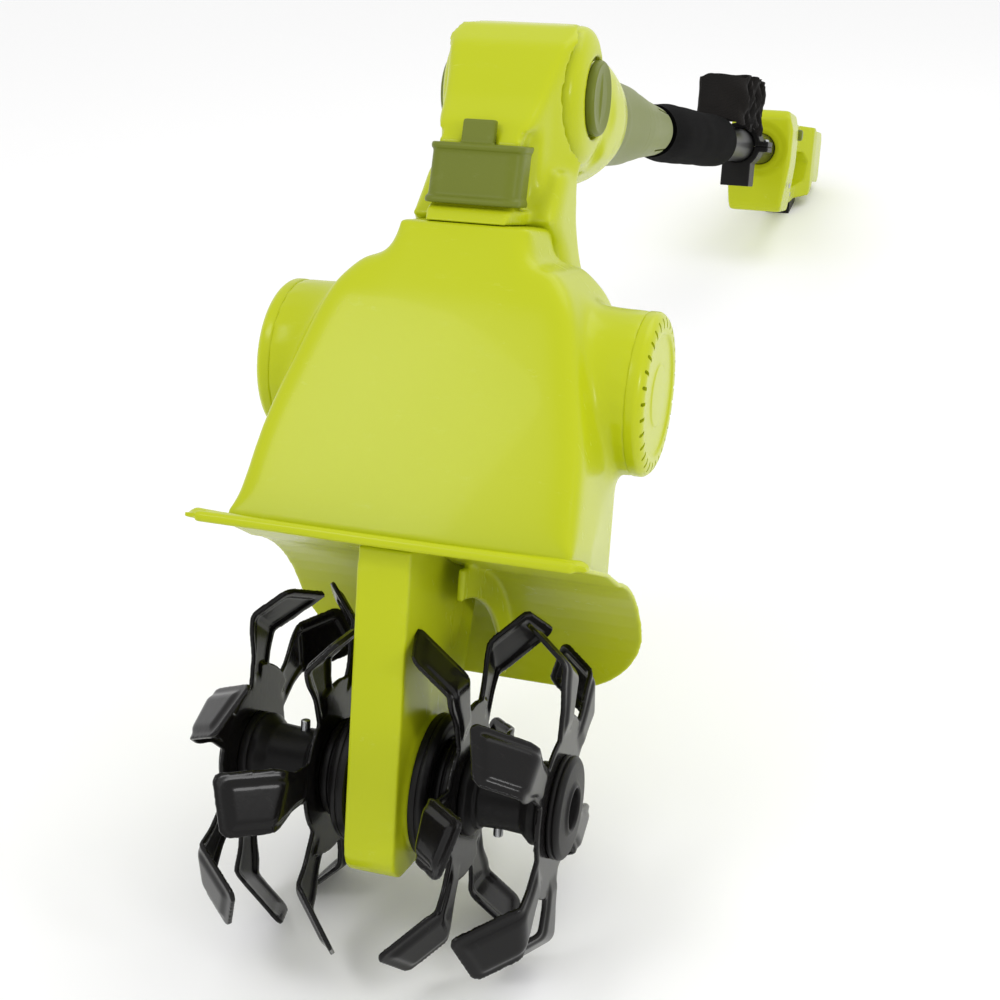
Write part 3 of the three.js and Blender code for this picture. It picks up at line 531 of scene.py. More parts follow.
def to_mesh(name: str, shape: Shape) -> bpy.types.Mesh:
    """Turns a shape into a mesh in metres, merged, with its faces pointing out."""
    mesh = bpy.data.meshes.new(name)
    mesh.from_pydata([HEAD @ Vector(p) for p in shape.points], [], shape.faces)
    bm = bmesh.new()
    bm.from_mesh(mesh)
    if shape.spots:
        layer = bm.loops.layers.uv.new("UVMap")
        bm.verts.ensure_lookup_table()
        for face in bm.faces:
            for loop in face.loops:
                loop[layer].uv = shape.spots[loop.vert.index]
    bmesh.ops.remove_doubles(bm, verts=bm.verts, dist=1e-6)
    bmesh.ops.recalc_face_normals(bm, faces=bm.faces)
    bm.to_mesh(mesh)
    bm.free()
    return mesh


def crease(mesh: bpy.types.Mesh, limit: float = 38.0) -> None:
    """Shades a mesh smooth, apart from edges that turn by more than the limit in degrees."""
    bm = bmesh.new()
    bm.from_mesh(mesh)
    for face in bm.faces:
        face.smooth = True
    for edge in bm.edges:
        edge.smooth = len(edge.link_faces) == 2 and edge.calc_face_angle(0.0) < math.radians(limit)
    bm.to_mesh(mesh)
    bm.free()


def to_object(name: str, mesh: bpy.types.Mesh) -> bpy.types.Object:
    """Puts a mesh in the scene as an object at the origin."""
    piece = bpy.data.objects.new(name, mesh)
    bpy.context.scene.collection.objects.link(piece)
    return piece


def bake(piece: bpy.types.Object) -> None:
    """Applies every modifier of a piece to its mesh."""
    depsgraph = bpy.context.evaluated_depsgraph_get()
    result = bpy.data.meshes.new_from_object(piece.evaluated_get(depsgraph))
    old = piece.data
    piece.modifiers.clear()
    piece.data = result
    bpy.data.meshes.remove(old)


def cut(piece: bpy.types.Object, tool: Shape) -> None:
    """Cuts a closed shape out of a piece."""
    cutter = to_object("cutter", to_mesh("cutter", tool))
    modifier = piece.modifiers.new("cut", "BOOLEAN")
    modifier.operation = "DIFFERENCE"
    modifier.solver = "EXACT"
    modifier.use_self = True
    modifier.object = cutter
    bake(piece)
    bpy.data.objects.remove(cutter)


def soften(piece: bpy.types.Object, voxel: float, passes: int) -> None:
    """Rounds every edge of a closed piece as a mould's corners are rounded.

    Args:
        piece: The closed piece.
        voxel: The fineness of the new surface, in millimetres.
        passes: How many times the surface is relaxed.
    """
    piece.data.transform(HEAD.inverted())
    remesh = piece.modifiers.new("skin", "REMESH")
    remesh.mode = "VOXEL"
    remesh.voxel_size = voxel
    remesh.use_smooth_shade = True
    if passes:
        relax = piece.modifiers.new("relax", "SMOOTH")
        relax.factor = 0.5
        relax.iterations = passes
    bake(piece)
    piece.data.transform(HEAD)


def smooth_step(value: float, start: float, end: float) -> float:
    """Rises smoothly from 0 at the start to 1 at the end."""
    t = min(max((value - start) / (end - start), 0.0), 1.0)
    return t * t * (3.0 - 2.0 * t)


def relax(piece: bpy.types.Object, passes: int, weight: Callable[[Vector], float]) -> None:
    """Rounds part of a fine surface much more, by relaxing it.

    Args:
        piece: The piece, whose surface has already been made fine and even.
        passes: How many times the surface is relaxed.
        weight: How strongly a point is relaxed, from its place in head millimetres.
    """
    group = piece.vertex_groups.new(name="relaxed")
    inverse = HEAD.inverted()
    for vertex in piece.data.vertices:
        group.add([vertex.index], weight(inverse @ vertex.co), "REPLACE")
    modifier = piece.modifiers.new("relax", "SMOOTH")
    modifier.factor = 0.5
    modifier.iterations = passes
    modifier.vertex_group = group.name
    bake(piece)
    piece.vertex_groups.clear()


def finish_piece(piece: bpy.types.Object, finish: Finish, body: str, nodes: Iterable[str] = (),
                 limit: float = 38.0) -> bpy.types.Object:
    """Gives a piece its finish, its body and the CAD nodes that it stands for."""
    piece.data.materials.clear()
    piece.data.materials.append(finish.material())
    crease(piece.data, limit)
    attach(piece, body)
    names = list(nodes)
    if names:
        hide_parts(*names)
    log.info("%s: %d faces on %s", piece.name, len(piece.data.polygons), body)
    return piece


def turned_piece(name: str, shape: Shape, finish: Finish, body: str, nodes: Iterable[str] = ()
                 ) -> bpy.types.Object:
    """Makes a finished piece from a shape."""
    return finish_piece(to_object(name, to_mesh(name, shape)), finish, body, nodes)


def moulded_piece(name: str, nodes: list[str], finish: Finish, body: str, voxel: float, passes: int,
                  extra: Shape | None = None, cuts: Iterable[Shape] = (),
                  blend: tuple[int, Callable[[Vector], float]] | None = None) -> bpy.types.Object:
    """Makes a moulded piece with rounded edges from the CAD solids of its nodes.

    Args:
        name: The piece's name.
        nodes: The CAD nodes that it stands for.
        finish: Its finish.
        body: The body that it rides on.
        voxel: The fineness of its surface in millimetres.
        passes: How strongly its edges are rounded.
        extra: More closed shapes that are moulded on.
        cuts: Closed shapes that are cut away first.
        blend: Passes and a weight by place, for the parts whose edges are much rounder.

    Returns:
        The finished piece.
    """
    bm = bmesh.new()
    for node in nodes:
        bm.from_mesh(frame["nodes"][node].data)
    bmesh.ops.remove_doubles(bm, verts=bm.verts, dist=1e-6)
    mesh = bpy.data.meshes.new(name)
    bm.to_mesh(mesh)
    bm.free()
    piece = to_object(name, mesh)
    for tool in cuts:
        cut(piece, tool)
    if extra:
        bm = bmesh.new()
        bm.from_mesh(piece.data)
        bm.from_mesh(to_mesh("extra", extra))
        bm.to_mesh(piece.data)
        bm.free()
    soften(piece, voxel, passes)
    if blend:
        relax(piece, *blend)
    return finish_piece(piece, finish, body, nodes, limit=60.0)


# ---------- geometry nodes ----------

def copies_tree() -> bpy.types.NodeTree:
    """Builds the tree that sets a copy of an object on every point of a mesh, turned as the point says."""
    known = bpy.data.node_groups.get("copies_on_points")
    if known:
        return known
    tree = bpy.data.node_groups.new("copies_on_points", "GeometryNodeTree")
    face = tree.interface
    face.new_socket("Geometry", in_out="INPUT", socket_type="NodeSocketGeometry")
    face.new_socket("Copy", in_out="INPUT", socket_type="NodeSocketObject")
    face.new_socket("Material", in_out="INPUT", socket_type="NodeSocketMaterial")
    face.new_socket("Geometry", in_out="OUTPUT", socket_type="NodeSocketGeometry")
    given = tree.nodes.new("NodeGroupInput")
    result = tree.nodes.new("NodeGroupOutput")
    info = tree.nodes.new("GeometryNodeObjectInfo")
    turn = tree.nodes.new("GeometryNodeInputNamedAttribute")
    turn.data_type = "FLOAT_VECTOR"
    turn.inputs["Name"].default_value = "turn"
    scatter = tree.nodes.new("GeometryNodeInstanceOnPoints")
    realize = tree.nodes.new("GeometryNodeRealizeInstances")
    dress = tree.nodes.new("GeometryNodeSetMaterial")
    link = tree.links.new
    link(given.outputs["Copy"], info.inputs["Object"])
    link(given.outputs["Geometry"], scatter.inputs["Points"])
    link(info.outputs["Geometry"], scatter.inputs["Instance"])
    link(turn.outputs["Attribute"], scatter.inputs["Rotation"])
    link(scatter.outputs["Instances"], realize.inputs["Geometry"])
    link(realize.outputs["Geometry"], dress.inputs["Geometry"])
    link(given.outputs["Material"], dress.inputs["Material"])
    link(dress.outputs["Geometry"], result.inputs["Geometry"])
    return tree


def copies(name: str, places: list[Matrix], item: Shape, finish: Finish) -> bpy.types.Object:
    """Sets copies of a small shape at given places, as one plain mesh.

    Args:
        name: The new object's name.
        places: Where each copy goes, as matrices in head millimetres.
        item: The small shape, drawn round its own origin in millimetres.
        finish: What it is made of.

    Returns:
        The object that holds every copy.
    """
    spots = [HEAD @ place for place in places]
    mesh = bpy.data.meshes.new(name)
    mesh.from_pydata([spot.translation for spot in spots], [], [])
    turns = mesh.attributes.new("turn", "FLOAT_VECTOR", "POINT")
    for value, spot in zip(turns.data, spots):
        value.vector = spot.to_quaternion().to_euler()
    piece = to_object(name, mesh)
    small = bpy.data.meshes.new(f"{name}_item")
    small.from_pydata([Vector(p) * MM for p in item.points], [], item.faces)
    bm = bmesh.new()
    bm.from_mesh(small)
    bmesh.ops.remove_doubles(bm, verts=bm.verts, dist=1e-6)
    bmesh.ops.recalc_face_normals(bm, faces=bm.faces)
    bm.to_mesh(small)
    bm.free()
    source = to_object(f"{name}_item", small)
    tree = copies_tree()
    modifier = piece.modifiers.new("copies", "NODES")
    modifier.node_group = tree
    sockets = {socket.name: socket.identifier for socket in tree.interface.items_tree
               if socket.in_out == "INPUT"}
    modifier[sockets["Copy"]] = source
    modifier[sockets["Material"]] = finish.material()
    bake(piece)
    bpy.data.objects.remove(source)
    return piece


def screw_head(radius: float, height: float) -> Shape:
    """Gives a pan head with a cross recess, standing along +Z from its origin."""
    count = 24
    rim = [(radius, -0.4), (radius, height * 0.35), (radius * 0.82, height * 0.85)]
    shape = Shape()
    for r, z in rim:
        shape.points += [(r * math.cos(math.tau * k / count), r * math.sin(math.tau * k / count), z)
                         for k in range(count)]
    for row in range(len(rim) - 1):
        for k in range(count):
            n = (k + 1) % count
            shape.faces.append((row * count + k, row * count + n, (row + 1) * count + n, (row + 1) * count + k))
    top = 2 * count
    slot = len(shape.points)
    for k in range(count):
        deep = k % 6 == 0
        angle = math.tau * k / count
        reach = radius * (0.62 if deep or k % 6 in (1, 5) else 0.24)
        shape.points.append((reach * math.cos(angle), reach * math.sin(angle), height))
    for k in range(count):
        n = (k + 1) % count
        shape.faces.append((top + k, top + n, slot + n, slot + k))
    floor = len(shape.points)
    for k in range(count):
        x, y, _ = shape.points[slot + k]
        shape.points.append((x * 0.9, y * 0.9, height * 0.3))
    for k in range(count):
        n = (k + 1) % count
        shape.faces.append((slot + k, slot + n, floor + n, floor + k))
    shape.faces.append(tuple(range(floor, floor + count)))
    shape.faces.append(tuple(reversed(range(count))))
    return shape


def facing(point: tuple[float, float, float], direction: tuple[float, float, float]) -> Matrix:
    """Gives a matrix that puts a small shape at a point, with its +Z along a direction."""
    turn = Vector(direction).to_track_quat("Z", "Y")
    return Matrix.Translation(Vector(point)) @ turn.to_matrix().to_4x4()


# ---------- sub-assemblies ----------

@dataclass
class Head:
    """The cowl, its tine guard and the gear leg."""

    guard_centre: tuple[float, float] = (-81.0, -238.0)
    guard_radius: float = 136.0
    rib_inner: float = 114.0
    rib_thickness: float = 4.0

    def lip(self) -> Shape:
        """Gives the guard's rolled front lip, whose ends sweep back a little."""
        shape = Shape()
        steps, round_steps = 60, 12
        for i in range(steps + 1):
            x = -119.0 + 238.0 * i / steps
            sweep = 7.0 * abs(x / 119.0) ** 3
            size = 3.6 if 0 < i < steps else 1.6
            for k in range(round_steps):
                angle = math.tau * k / round_steps
                shape.points.append((x, -140.0 + sweep + size * math.cos(angle),
                                     -77.6 + size * math.sin(angle)))
        for i in range(steps):
            for k in range(round_steps):
                n = (k + 1) % round_steps
                a, b = i * round_steps, (i + 1) * round_steps
                shape.faces.append((a + k, a + n, b + n, b + k))
        shape.faces.append(tuple(range(round_steps)))
        shape.faces.append(tuple(range(steps * round_steps, (steps + 1) * round_steps)))
        return shape

    def flare(self) -> Shape:
        """Gives the two wedges that spread the neck's seat out onto the cowl."""
        shape = Shape()
        for side in Side:
            sections: list[Points] = []
            for z, front, half in ((50, -49.5, 56), (66, -42, 48.5), (80, -34, 44), (93.6, -26.5, 41.6)):
                sections.append([(side.value * x, y, z) for x, y in
                                 ((36, front), (half, front), (half + 2, 24), (36, 24))])
            shape.add(loft(sections))
        return shape

    def blend(self, point: Vector) -> float:
        """Tells how round the cowl is at a point: soft shoulders, front corners and barrel roots."""
        near_foot = smooth_step(point.z, -78, -64)
        off_seat = smooth_step(point.z, 96, 86)
        radius = math.hypot(point.y, point.z)
        on_barrel = 1.0 - smooth_step(radius, 56.5, 60) if abs(point.x) > 78 else 0.0
        past_root = smooth_step(abs(point.x), 108, 98)
        return near_foot * off_seat * (past_root if on_barrel else 1.0)

    def arc_rib(self) -> Shape:
        """Gives the curved rib under the guard, beside the leg."""
        outer = arc(self.guard_centre, self.guard_radius - 2.5, 88, 20, 24)
        inner = arc(self.guard_centre, self.rib_inner, 20, 88, 24)
        rib = prism(outer + inner, 27.0, 27.0 + self.rib_thickness, lambda y, z, x: (x, y, z))
        return rib.add(prism(outer + inner, -31.0, -27.0, lambda y, z, x: (x, y, z)))

    def build(self) -> None:
        """Makes the cowl halves, the guard, the leg halves and their screws."""
        barrels = ["motor_barrel_left", "motor_barrel_right"]
        moulded_piece("cowl_shell", ["cowl_front", "cowl_rear", *barrels], LIME, "root", 1.8, 10,
                      extra=self.flare(), blend=(150, self.blend))
        moulded_piece("guard_sheet", ["tine_guard"], LIME, "root", 1.25, 5,
                      extra=self.lip().add(self.arc_rib()))
        moulded_piece("gear_leg", ["leg_case_left", "leg_case_right"], LIME, "root", 1.3, 14,
                      extra=block((-15.8, -129.6, -150), (15.8, -60, -84)))
        for side in Side:
            self.cup(side)
        self.screws()

    def cup(self, side: Side) -> None:
        """Makes one stepped seal cup on the leg's boss."""
        profile = rounded([(27, 20.3), (43, 20.3), (43, 24.4), (42.2, 24.6), (42.2, 25.2), (43, 25.4),
                           (43, 27.6), (40.5, 30), (37, 30), (36, 29.2), (33, 29.2), (31, 30),
                           (29, 29.6), (27, 27)], 0.7, steps=2)
        flipped = [(r, side.value * x) for r, x in profile]
        turned_piece(f"seal_ring_{side.word}", lathe(flipped, "X", self.guard_centre), BLACK, "root",
                     [f"seal_cup_{side.word}"])

    def screws(self) -> None:
        """Sets the case screws down the leg's left face."""
        places = [facing((-16.2, y, z), (-1, 0, 0)) for y, z in
                  ((-112, -268), (-52, -268), (-118, -180), (-118, -115), (-35, -190))]
        piece = copies("leg_screws", places, screw_head(3.4, 1.6), STEEL)
        finish_piece(piece, STEEL, "root")


@dataclass
class Motor:
    """The motor housing across the head."""

    half_width: float = 123.0
    radius: float = 50.0
    cap_width: float = 8.0
    vents: int = 30
    vent_radius: float = 44.0

    def build(self) -> None:
        """Makes the vented end caps."""
        for side in Side:
            self.cap(side)

    def cap(self, side: Side) -> None:
        """Makes one end cap, with its ring of slots and its dished middle."""
        inner = self.half_width - self.cap_width - 3.0
        face = self.half_width
        profile = [(0, inner), (self.radius + 0.2, inner), (self.radius + 0.2, face - 4.5),
                   (self.radius - 2.5, face - 1.4),
                   (self.radius - 6, face), (self.radius - 12, face), (self.radius - 14, face - 1.5),
                   (20, face - 1.5), (18.5, face - 0.7), (0, face - 0.7)]
        profile = rounded(profile, 1.6, closed=False)
        flipped = [(r, side.value * x) for r, x in profile]
        piece = to_object(f"motor_end_{side.word}", to_mesh("cap", lathe(flipped, "X", (0, 0), 128)))
        slot = prism(rounded([(-1.1, -3.2), (1.1, -3.2), (1.1, 3.2), (-1.1, 3.2)], 1.0, steps=2),
                     -3.0, 3.0, lambda u, v, w: (u, v, w))
        places = []
        for i in range(self.vents):
            angle = math.tau * i / self.vents
            out = Vector((0, math.cos(angle), math.sin(angle)))
            turn = Matrix.Rotation(angle - math.pi / 2, 4, "X") @ Matrix.Rotation(math.pi / 2, 4, "Y")
            places.append(Matrix.Translation(out * self.vent_radius + Vector((side.value * face, 0, 0))) @ turn
                          @ Matrix.Rotation(math.pi / 2, 4, "Z"))
        cutter = copies("vent_slots", places, slot, LIME)
        modifier = piece.modifiers.new("vents", "BOOLEAN")
        modifier.object = cutter
        modifier.solver = "EXACT"
        bake(piece)
        bpy.data.objects.remove(cutter)
        finish_piece(piece, LIME, "root", [f"motor_cap_{side.word}"])


@dataclass
class TineRow:
    """The axle's black hubs and the four stamped tine stars."""

    centre: tuple[float, float] = (-81.0, -238.0)
    ring_radius: float = 33.0
    plate: float = 3.0
    arm_half: float = 11.5
    flap_half: float = 17.5
    bend_start: float = 78.0
    bend_radius: float = 7.0
    slant: float = 0.42
    flap_length: float = 33.0
    sink: float = 1.8
    outer_x: float = 99.0
    inner_x: float = 44.0
    outer_angles: tuple[float, ...] = (36, 84, 146, 220, 267, 328)
    inner_angles: tuple[float, ...] = (65, 113, 175, 242, 294, 355)
    outer_folds: tuple[float, ...] = (-50, -50, -50, -50, -50, -50)
    inner_folds: tuple[float, ...] = (42, -42, 42, -42, 42, -42)

    def half_at(self, run: float) -> float:
        """Gives a finger's half width at a run from the axle."""
        end = self.bend_start + self.bend_radius + self.flap_length
        spread = min(max((run - 58.0) / 24.0, 0.0), 1.0)
        half = self.arm_half + (self.flap_half - self.arm_half) * spread * spread * (3 - 2 * spread)
        nose = min(max((run - end + 5.0) / 5.0, 0.0), 1.0)
        return half - 4.0 * nose * nose

    def sink_at(self, run: float, across: float) -> float:
        """Gives how deep the pressed middle of a finger is at a place on it."""
        end = self.bend_start + self.bend_radius + self.flap_length
        edge = min(max((0.78 - abs(across)) / 0.22, 0.0), 1.0)
        start = min(max((run - 44.0) / 8.0, 0.0), 1.0)
        stop = min(max((end - 5.0 - run) / 4.0, 0.0), 1.0)
        return self.sink * edge * edge * (3 - 2 * edge) * start * stop

    def finger(self, angle: float, fold: float) -> Shape:
        """Makes one stamped finger, bent over at its slanting line.

        Args:
            angle: Its direction from +Y towards +Z, in degrees.
            fold: How far its flap turns, positive towards +X, in degrees.

        Returns:
            The closed finger, round the origin.
        """
        turn = math.radians(abs(fold))
        way = math.copysign(1.0, fold)
        end = self.bend_start + self.bend_radius + self.flap_length
        rows, columns = 56, 16
        grid: list[list[list[int]]] = []
        shape = Shape()
        for layer in (-0.5, 0.5):
            sheet = []
            for i in range(rows + 1):
                run = 20.0 + (end - 20.0) * i / rows
                line = []
                for k in range(columns + 1):
                    across = -1.0 + 2.0 * k / columns
                    v = across * self.half_at(run)
                    lift = layer * self.plate - way * self.sink_at(run, across)
                    past = run - self.bend_start - self.slant * v
                    bend = min(max(past / self.bend_radius, 0.0), turn)
                    rest = max(past - self.bend_radius * turn, 0.0)
                    flat = min(run, self.bend_start + self.slant * v)
                    out = flat + self.bend_radius * math.sin(bend) + rest * math.cos(bend)
                    side = self.bend_radius * (1 - math.cos(bend)) + rest * math.sin(bend)
                    out -= lift * way * math.sin(bend)
                    across_x = way * side + lift * math.cos(bend)
                    line.append(len(shape.points))
                    shape.points.append((across_x, out, v))
                sheet.append(line)
            grid.append(sheet)
        low, high = grid
        for i in range(rows):
            for k in range(columns):
                shape.faces.append((low[i][k], low[i + 1][k], low[i + 1][k + 1], low[i][k + 1]))
                shape.faces.append((high[i][k], high[i][k + 1], high[i + 1][k + 1], high[i + 1][k]))
            shape.faces.append((low[i][0], high[i][0], high[i + 1][0], low[i + 1][0]))
            shape.faces.append((low[i][-1], low[i + 1][-1], high[i + 1][-1], high[i][-1]))
        for k in range(columns):
            shape.faces.append((low[0][k], low[0][k + 1], high[0][k + 1], high[0][k]))
            shape.faces.append((low[-1][k], high[-1][k], high[-1][k + 1], low[-1][k + 1]))
        return shape.moved(Matrix.Rotation(math.radians(angle), 4, "X"))

    def web(self, start: float, end: float, reach: float) -> Shape:
        """Gives the web between two neighbouring fingers, as deep as its notch leaves it."""
        outline = arc((0, 0), reach, start, end, 8) + arc((0, 0), 20, end, start, 6)
        return prism(outline, -self.plate / 2, self.plate / 2, lambda y, z, x: (x, y, z))

    def star(self, name: str, side: Side, x: float, angles: tuple[float, ...], folds: tuple[float, ...],
             node: str) -> None:
        """Makes one star from its fingers, webs and ring, fused as one stamping."""
        shape = lathe([(10.4, -1.5), (self.ring_radius, -1.5), (self.ring_radius, 1.5), (10.4, 1.5)],
                      "X", (0, 0), 72)
        for angle, fold in zip(angles, folds):
            shape.add(self.finger(angle, fold))
        for start, end in zip(angles, angles[1:] + (angles[0] + 360,)):
            reach = 55.0 if end - start < 55 else 44.0
            shape.add(self.web(start, end, reach))
        place = Matrix.Translation((side.value * x, *self.centre)) @ Matrix.Scale(side.value, 4, (1, 0, 0))
        piece = to_object(name, to_mesh(name, shape.moved(place)))
        soften(piece, 0.95, 3)
        finish_piece(piece, ENAMEL, "tines", [node], limit=60.0)

    def turned(self, name: str, side: Side, profile: Outline, finish: Finish, node: str,
               round_by: float = 0.8) -> bpy.types.Object:
        """Makes one turned piece on the axle."""
        flipped = [(r, side.value * x) for r, x in rounded(profile, round_by, steps=2)]
        return turned_piece(name, lathe(flipped, "X", self.centre), finish, "tines", [node])

    def build(self) -> None:
        """Makes the stars, hubs, sleeves, flanges and hitch pins."""
        bore = 10.3
        for side in Side:
            word = side.word
            self.star(f"outer_star_{word}", side, self.outer_x, self.outer_angles, self.outer_folds,
                      f"tine_star_outer_{word}")
            self.star(f"inner_star_{word}", side, self.inner_x, self.inner_angles, self.inner_folds,
                      f"tine_star_inner_{word}")
            inner = self.inner_x - 1.8
            self.turned(f"drive_hub_{word}", side, [
                (bore, 20.4), (24, 20.4), (24, 30.6), (30, 32), (30, 34.5), (28.6, 35), (28.6, 36), (30, 36.5),
                (30, inner - 2.5), (27, inner), (bore, inner)], BLACK, f"inner_hub_{word}")
            start, stop = self.inner_x + 1.8, self.outer_x - 1.8
            self.turned(f"spacer_sleeve_{word}", side, [
                (bore, start), (27, start), (27, start + 4), (22, start + 7), (22, start + 9), (20, start + 10),
                (19.4, 70), (20, stop - 16), (22.5, stop - 13), (25, stop - 10), (25, stop - 6), (24, stop - 5),
                (25, stop - 4), (25, stop), (bore, stop)], BLACK, f"tine_sleeve_{word}")
            face = self.outer_x + 1.8
            self.turned(f"end_flange_{word}", side, [
                (bore, face), (31, face), (31, face + 2.2), (30.3, face + 2.5), (30.3, face + 3.1),
                (31, face + 3.4), (31, face + 5.5), (28.6, face + 7.5), (16.4, face + 7.5), (14.6, face + 9),
                (13, face + 9), (12.2, face + 8), (12.2, face - 0.6 + 1), (bore, face + 0.4)],
                BLACK, f"hub_flange_{word}", 1.0)
            self.pin(side)

    def pin(self, side: Side) -> None:
        """Makes one hitch pin with its rounded ends."""
        y, z = self.centre
        profile = rounded([(0, z - 26), (3, z - 26), (3, z + 26), (0, z + 26)], 1.2, closed=False)
        upright = lathe(profile, "Y", (0, 0), 24).moved(Matrix.Rotation(math.pi / 2, 4, "X"))
        place = Matrix.Translation((side.value * 64.0, y, 0))
        turned_piece(f"pin_{side.word}", upright.moved(place), STEEL, "tines", [f"hitch_pin_{side.word}"])


@dataclass
class Knuckle:
    """The neck, its snap cover, and the locking pivot."""

    pivot: tuple[float, float] = (88.0, 175.0)
    button_radius: float = 24.0
    button_face: float = 53.0

    def build(self) -> None:
        """Makes the neck, the snap cover, the yoke and its two buttons."""
        moulded_piece("neck_housing", ["neck_front", "neck_rear"], LIME, "root", 1.2, 12,
                      extra=self.fairing(), blend=(110, self.blend))
        self.snap_cover()
        moulded_piece("pivot_yoke", ["yoke_left", "yoke_right"], LIME, "fork", 1.2, 12,
                      cuts=self.yoke_cuts(), blend=(110, self.yoke_blend))
        for side in Side:
            self.button(side)

    def fairing(self) -> Shape:
        """Gives the flanks that spread the neck's foot out onto the cowl."""
        sections: list[Points] = []
        levels = ((60, 56, 22), (72, 52, 21.5), (84, 49.5, 21), (97, 47.5, 6), (112, 46.5, 18), (128, 46, 30))
        for z, half, front in levels:
            plan = ((-half + 3, front), (half - 3, front), (half, front + 12), (half, 64.5),
                    (-half, 64.5), (-half, front + 12))
            sections.append([(x, y, z) for x, y in plan])
        return loft(sections)

    def blend(self, point: Vector) -> float:
        """Tells how round the neck is at a point: soft crown and front corners, crisp openings."""
        away = math.hypot(point.y - self.pivot[0], point.z - self.pivot[1])
        off_pocket = smooth_step(away, 48.5, 50.5) if abs(point.x) > 31 else smooth_step(away, 40, 52)
        beside = smooth_step(abs(point.x), 23, 27) * smooth_step(point.z, 143, 146)
        off_cover = max(smooth_step(point.z, 150, 160), smooth_step(point.y, 6, 14), beside)
        return off_pocket * off_cover

    def yoke_cuts(self) -> list[Shape]:
        """Gives the four corner bevels where the yoke closes into a round, and its two button pockets."""
        tools: list[Shape] = []
        for angle in (45, 135, 225, 315):
            turn = Matrix.Rotation(math.radians(angle), 4, "Y")
            slab = block((51.5, 99.0, -60.0), (110.0, 215.0, 60.0)).moved(turn)
            tools.append(slab.moved(Matrix.Translation((0.0, 0.0, 165.0))))
        for side in Side:
            low, high = side.value * 39.2, side.value * 53.0
            tools.append(lathe([(0, low), (26.0, low), (26.0, high), (0, high)], "X", self.pivot))
        return tools

    def yoke_blend(self, point: Vector) -> float:
        """Tells how round the yoke is at a point: soft cheeks, crisp bores."""
        away = math.hypot(point.y - self.pivot[0], point.z - self.pivot[1])
        reach = math.hypot(point.x, point.z - 165.0)
        off_bore = smooth_step(reach, 27, 32)
        off_button = smooth_step(away, 27, 34)
        outside = smooth_step(abs(point.x), 34.2, 36.5) if away < 52 else 1.0
        return off_bore * off_button * outside

    def snap_cover(self) -> None:
        """Makes the snap cover: a plate that wraps both flanks, with rolled rims and a tab."""
        levels = ((105.0, 0.9), (105.6, 1.9), (107.2, 2.2), (108.8, 1.7), (109.6, 0.2), (111.0, 0.0),
                  (135.5, 0.0), (136.8, 0.3), (137.6, 1.5), (139.2, 1.9), (140.6, 1.6), (141.2, 0.8))
        sections: list[Points] = []
        for z, swell in levels:
            lean = -16.5 + (z - 106.0) * 0.2
            back = lean + 22.0 + 1.2 * math.sin(z * 0.45)
            half = 29.3 + swell * 0.5
            front = lean - swell
            outer = [(-half, back), (-half, front), (half, front), (half, back)]
            inner = [(half - 3.2 - swell * 0.5, back), (26.1, lean + 4.3), (-26.1, lean + 4.3),
                     (-half + 3.2 + swell * 0.5, back)]
            plan = rounded(outer, 9.5, closed=False, steps=8) + rounded(inner, 6.0, closed=False, steps=8)
            sections.append([(x, y, z) for x, y in plan])
        tab = [(-10.2, 137.0), (10.2, 137.0), (10.2, 155.6), (-10.2, 155.6)]
        tab_shape = Shape()
        for depth in (-3.2, 2.6):
            tab_shape.points += [(x, -13.0 + (z - 106.0) * 0.2 + depth, z)
                                 for x, z in rounded(tab, 1.5, steps=3)]
        count = len(tab_shape.points) // 2
        tab_shape.faces = [(k, (k + 1) % count, count + (k + 1) % count, count + k) for k in range(count)]
        tab_shape.faces += [tuple(reversed(range(count))), tuple(range(count, 2 * count))]
        piece = to_object("snap_cover", to_mesh("snap_cover", loft(sections).add(tab_shape)))
        soften(piece, 0.55, 4)
        finish_piece(piece, OLIVE, "latch", ["neck_latch"], limit=60.0)

    def button(self, side: Side) -> None:
        """Makes one round pivot button with a raised bar across its dished face."""
        face = self.button_face
        r = self.button_radius
        profile = rounded([(0, face - 7.5), (r, face - 7.5), (r, face - 3.2), (r - 1.6, face - 1.2),
                           (r - 3.0, face - 1.6), (r - 9.0, face - 2.6), (0, face - 2.9)], 0.8, closed=False)
        shape = lathe([(a, side.value * b) for a, b in profile], "X", self.pivot)
        y, z = self.pivot
        ridge: list[Points] = []
        for k in range(9):
            level = z - 20.0 + 40.0 * k / 8
            rise = 1.1 * math.sin(math.pi * k / 8)
            foot, flank, crest = (side.value * (face - 5), side.value * (face - 2.6 + 0.2 * rise),
                                  side.value * (face - 2.6 + rise))
            ridge.append([(foot, y - 2.6, level), (flank, y - 2.2, level), (crest, y, level),
                          (flank, y + 2.2, level), (foot, y + 2.6, level)])
        shape.add(loft(ridge))
        piece = to_object(f"pivot_press_{side.word}", to_mesh("button", shape))
        soften(piece, 0.6, 4)
        finish_piece(piece, OLIVE, f"button_{side.word}", [f"pivot_button_{side.word}"], limit=60.0)


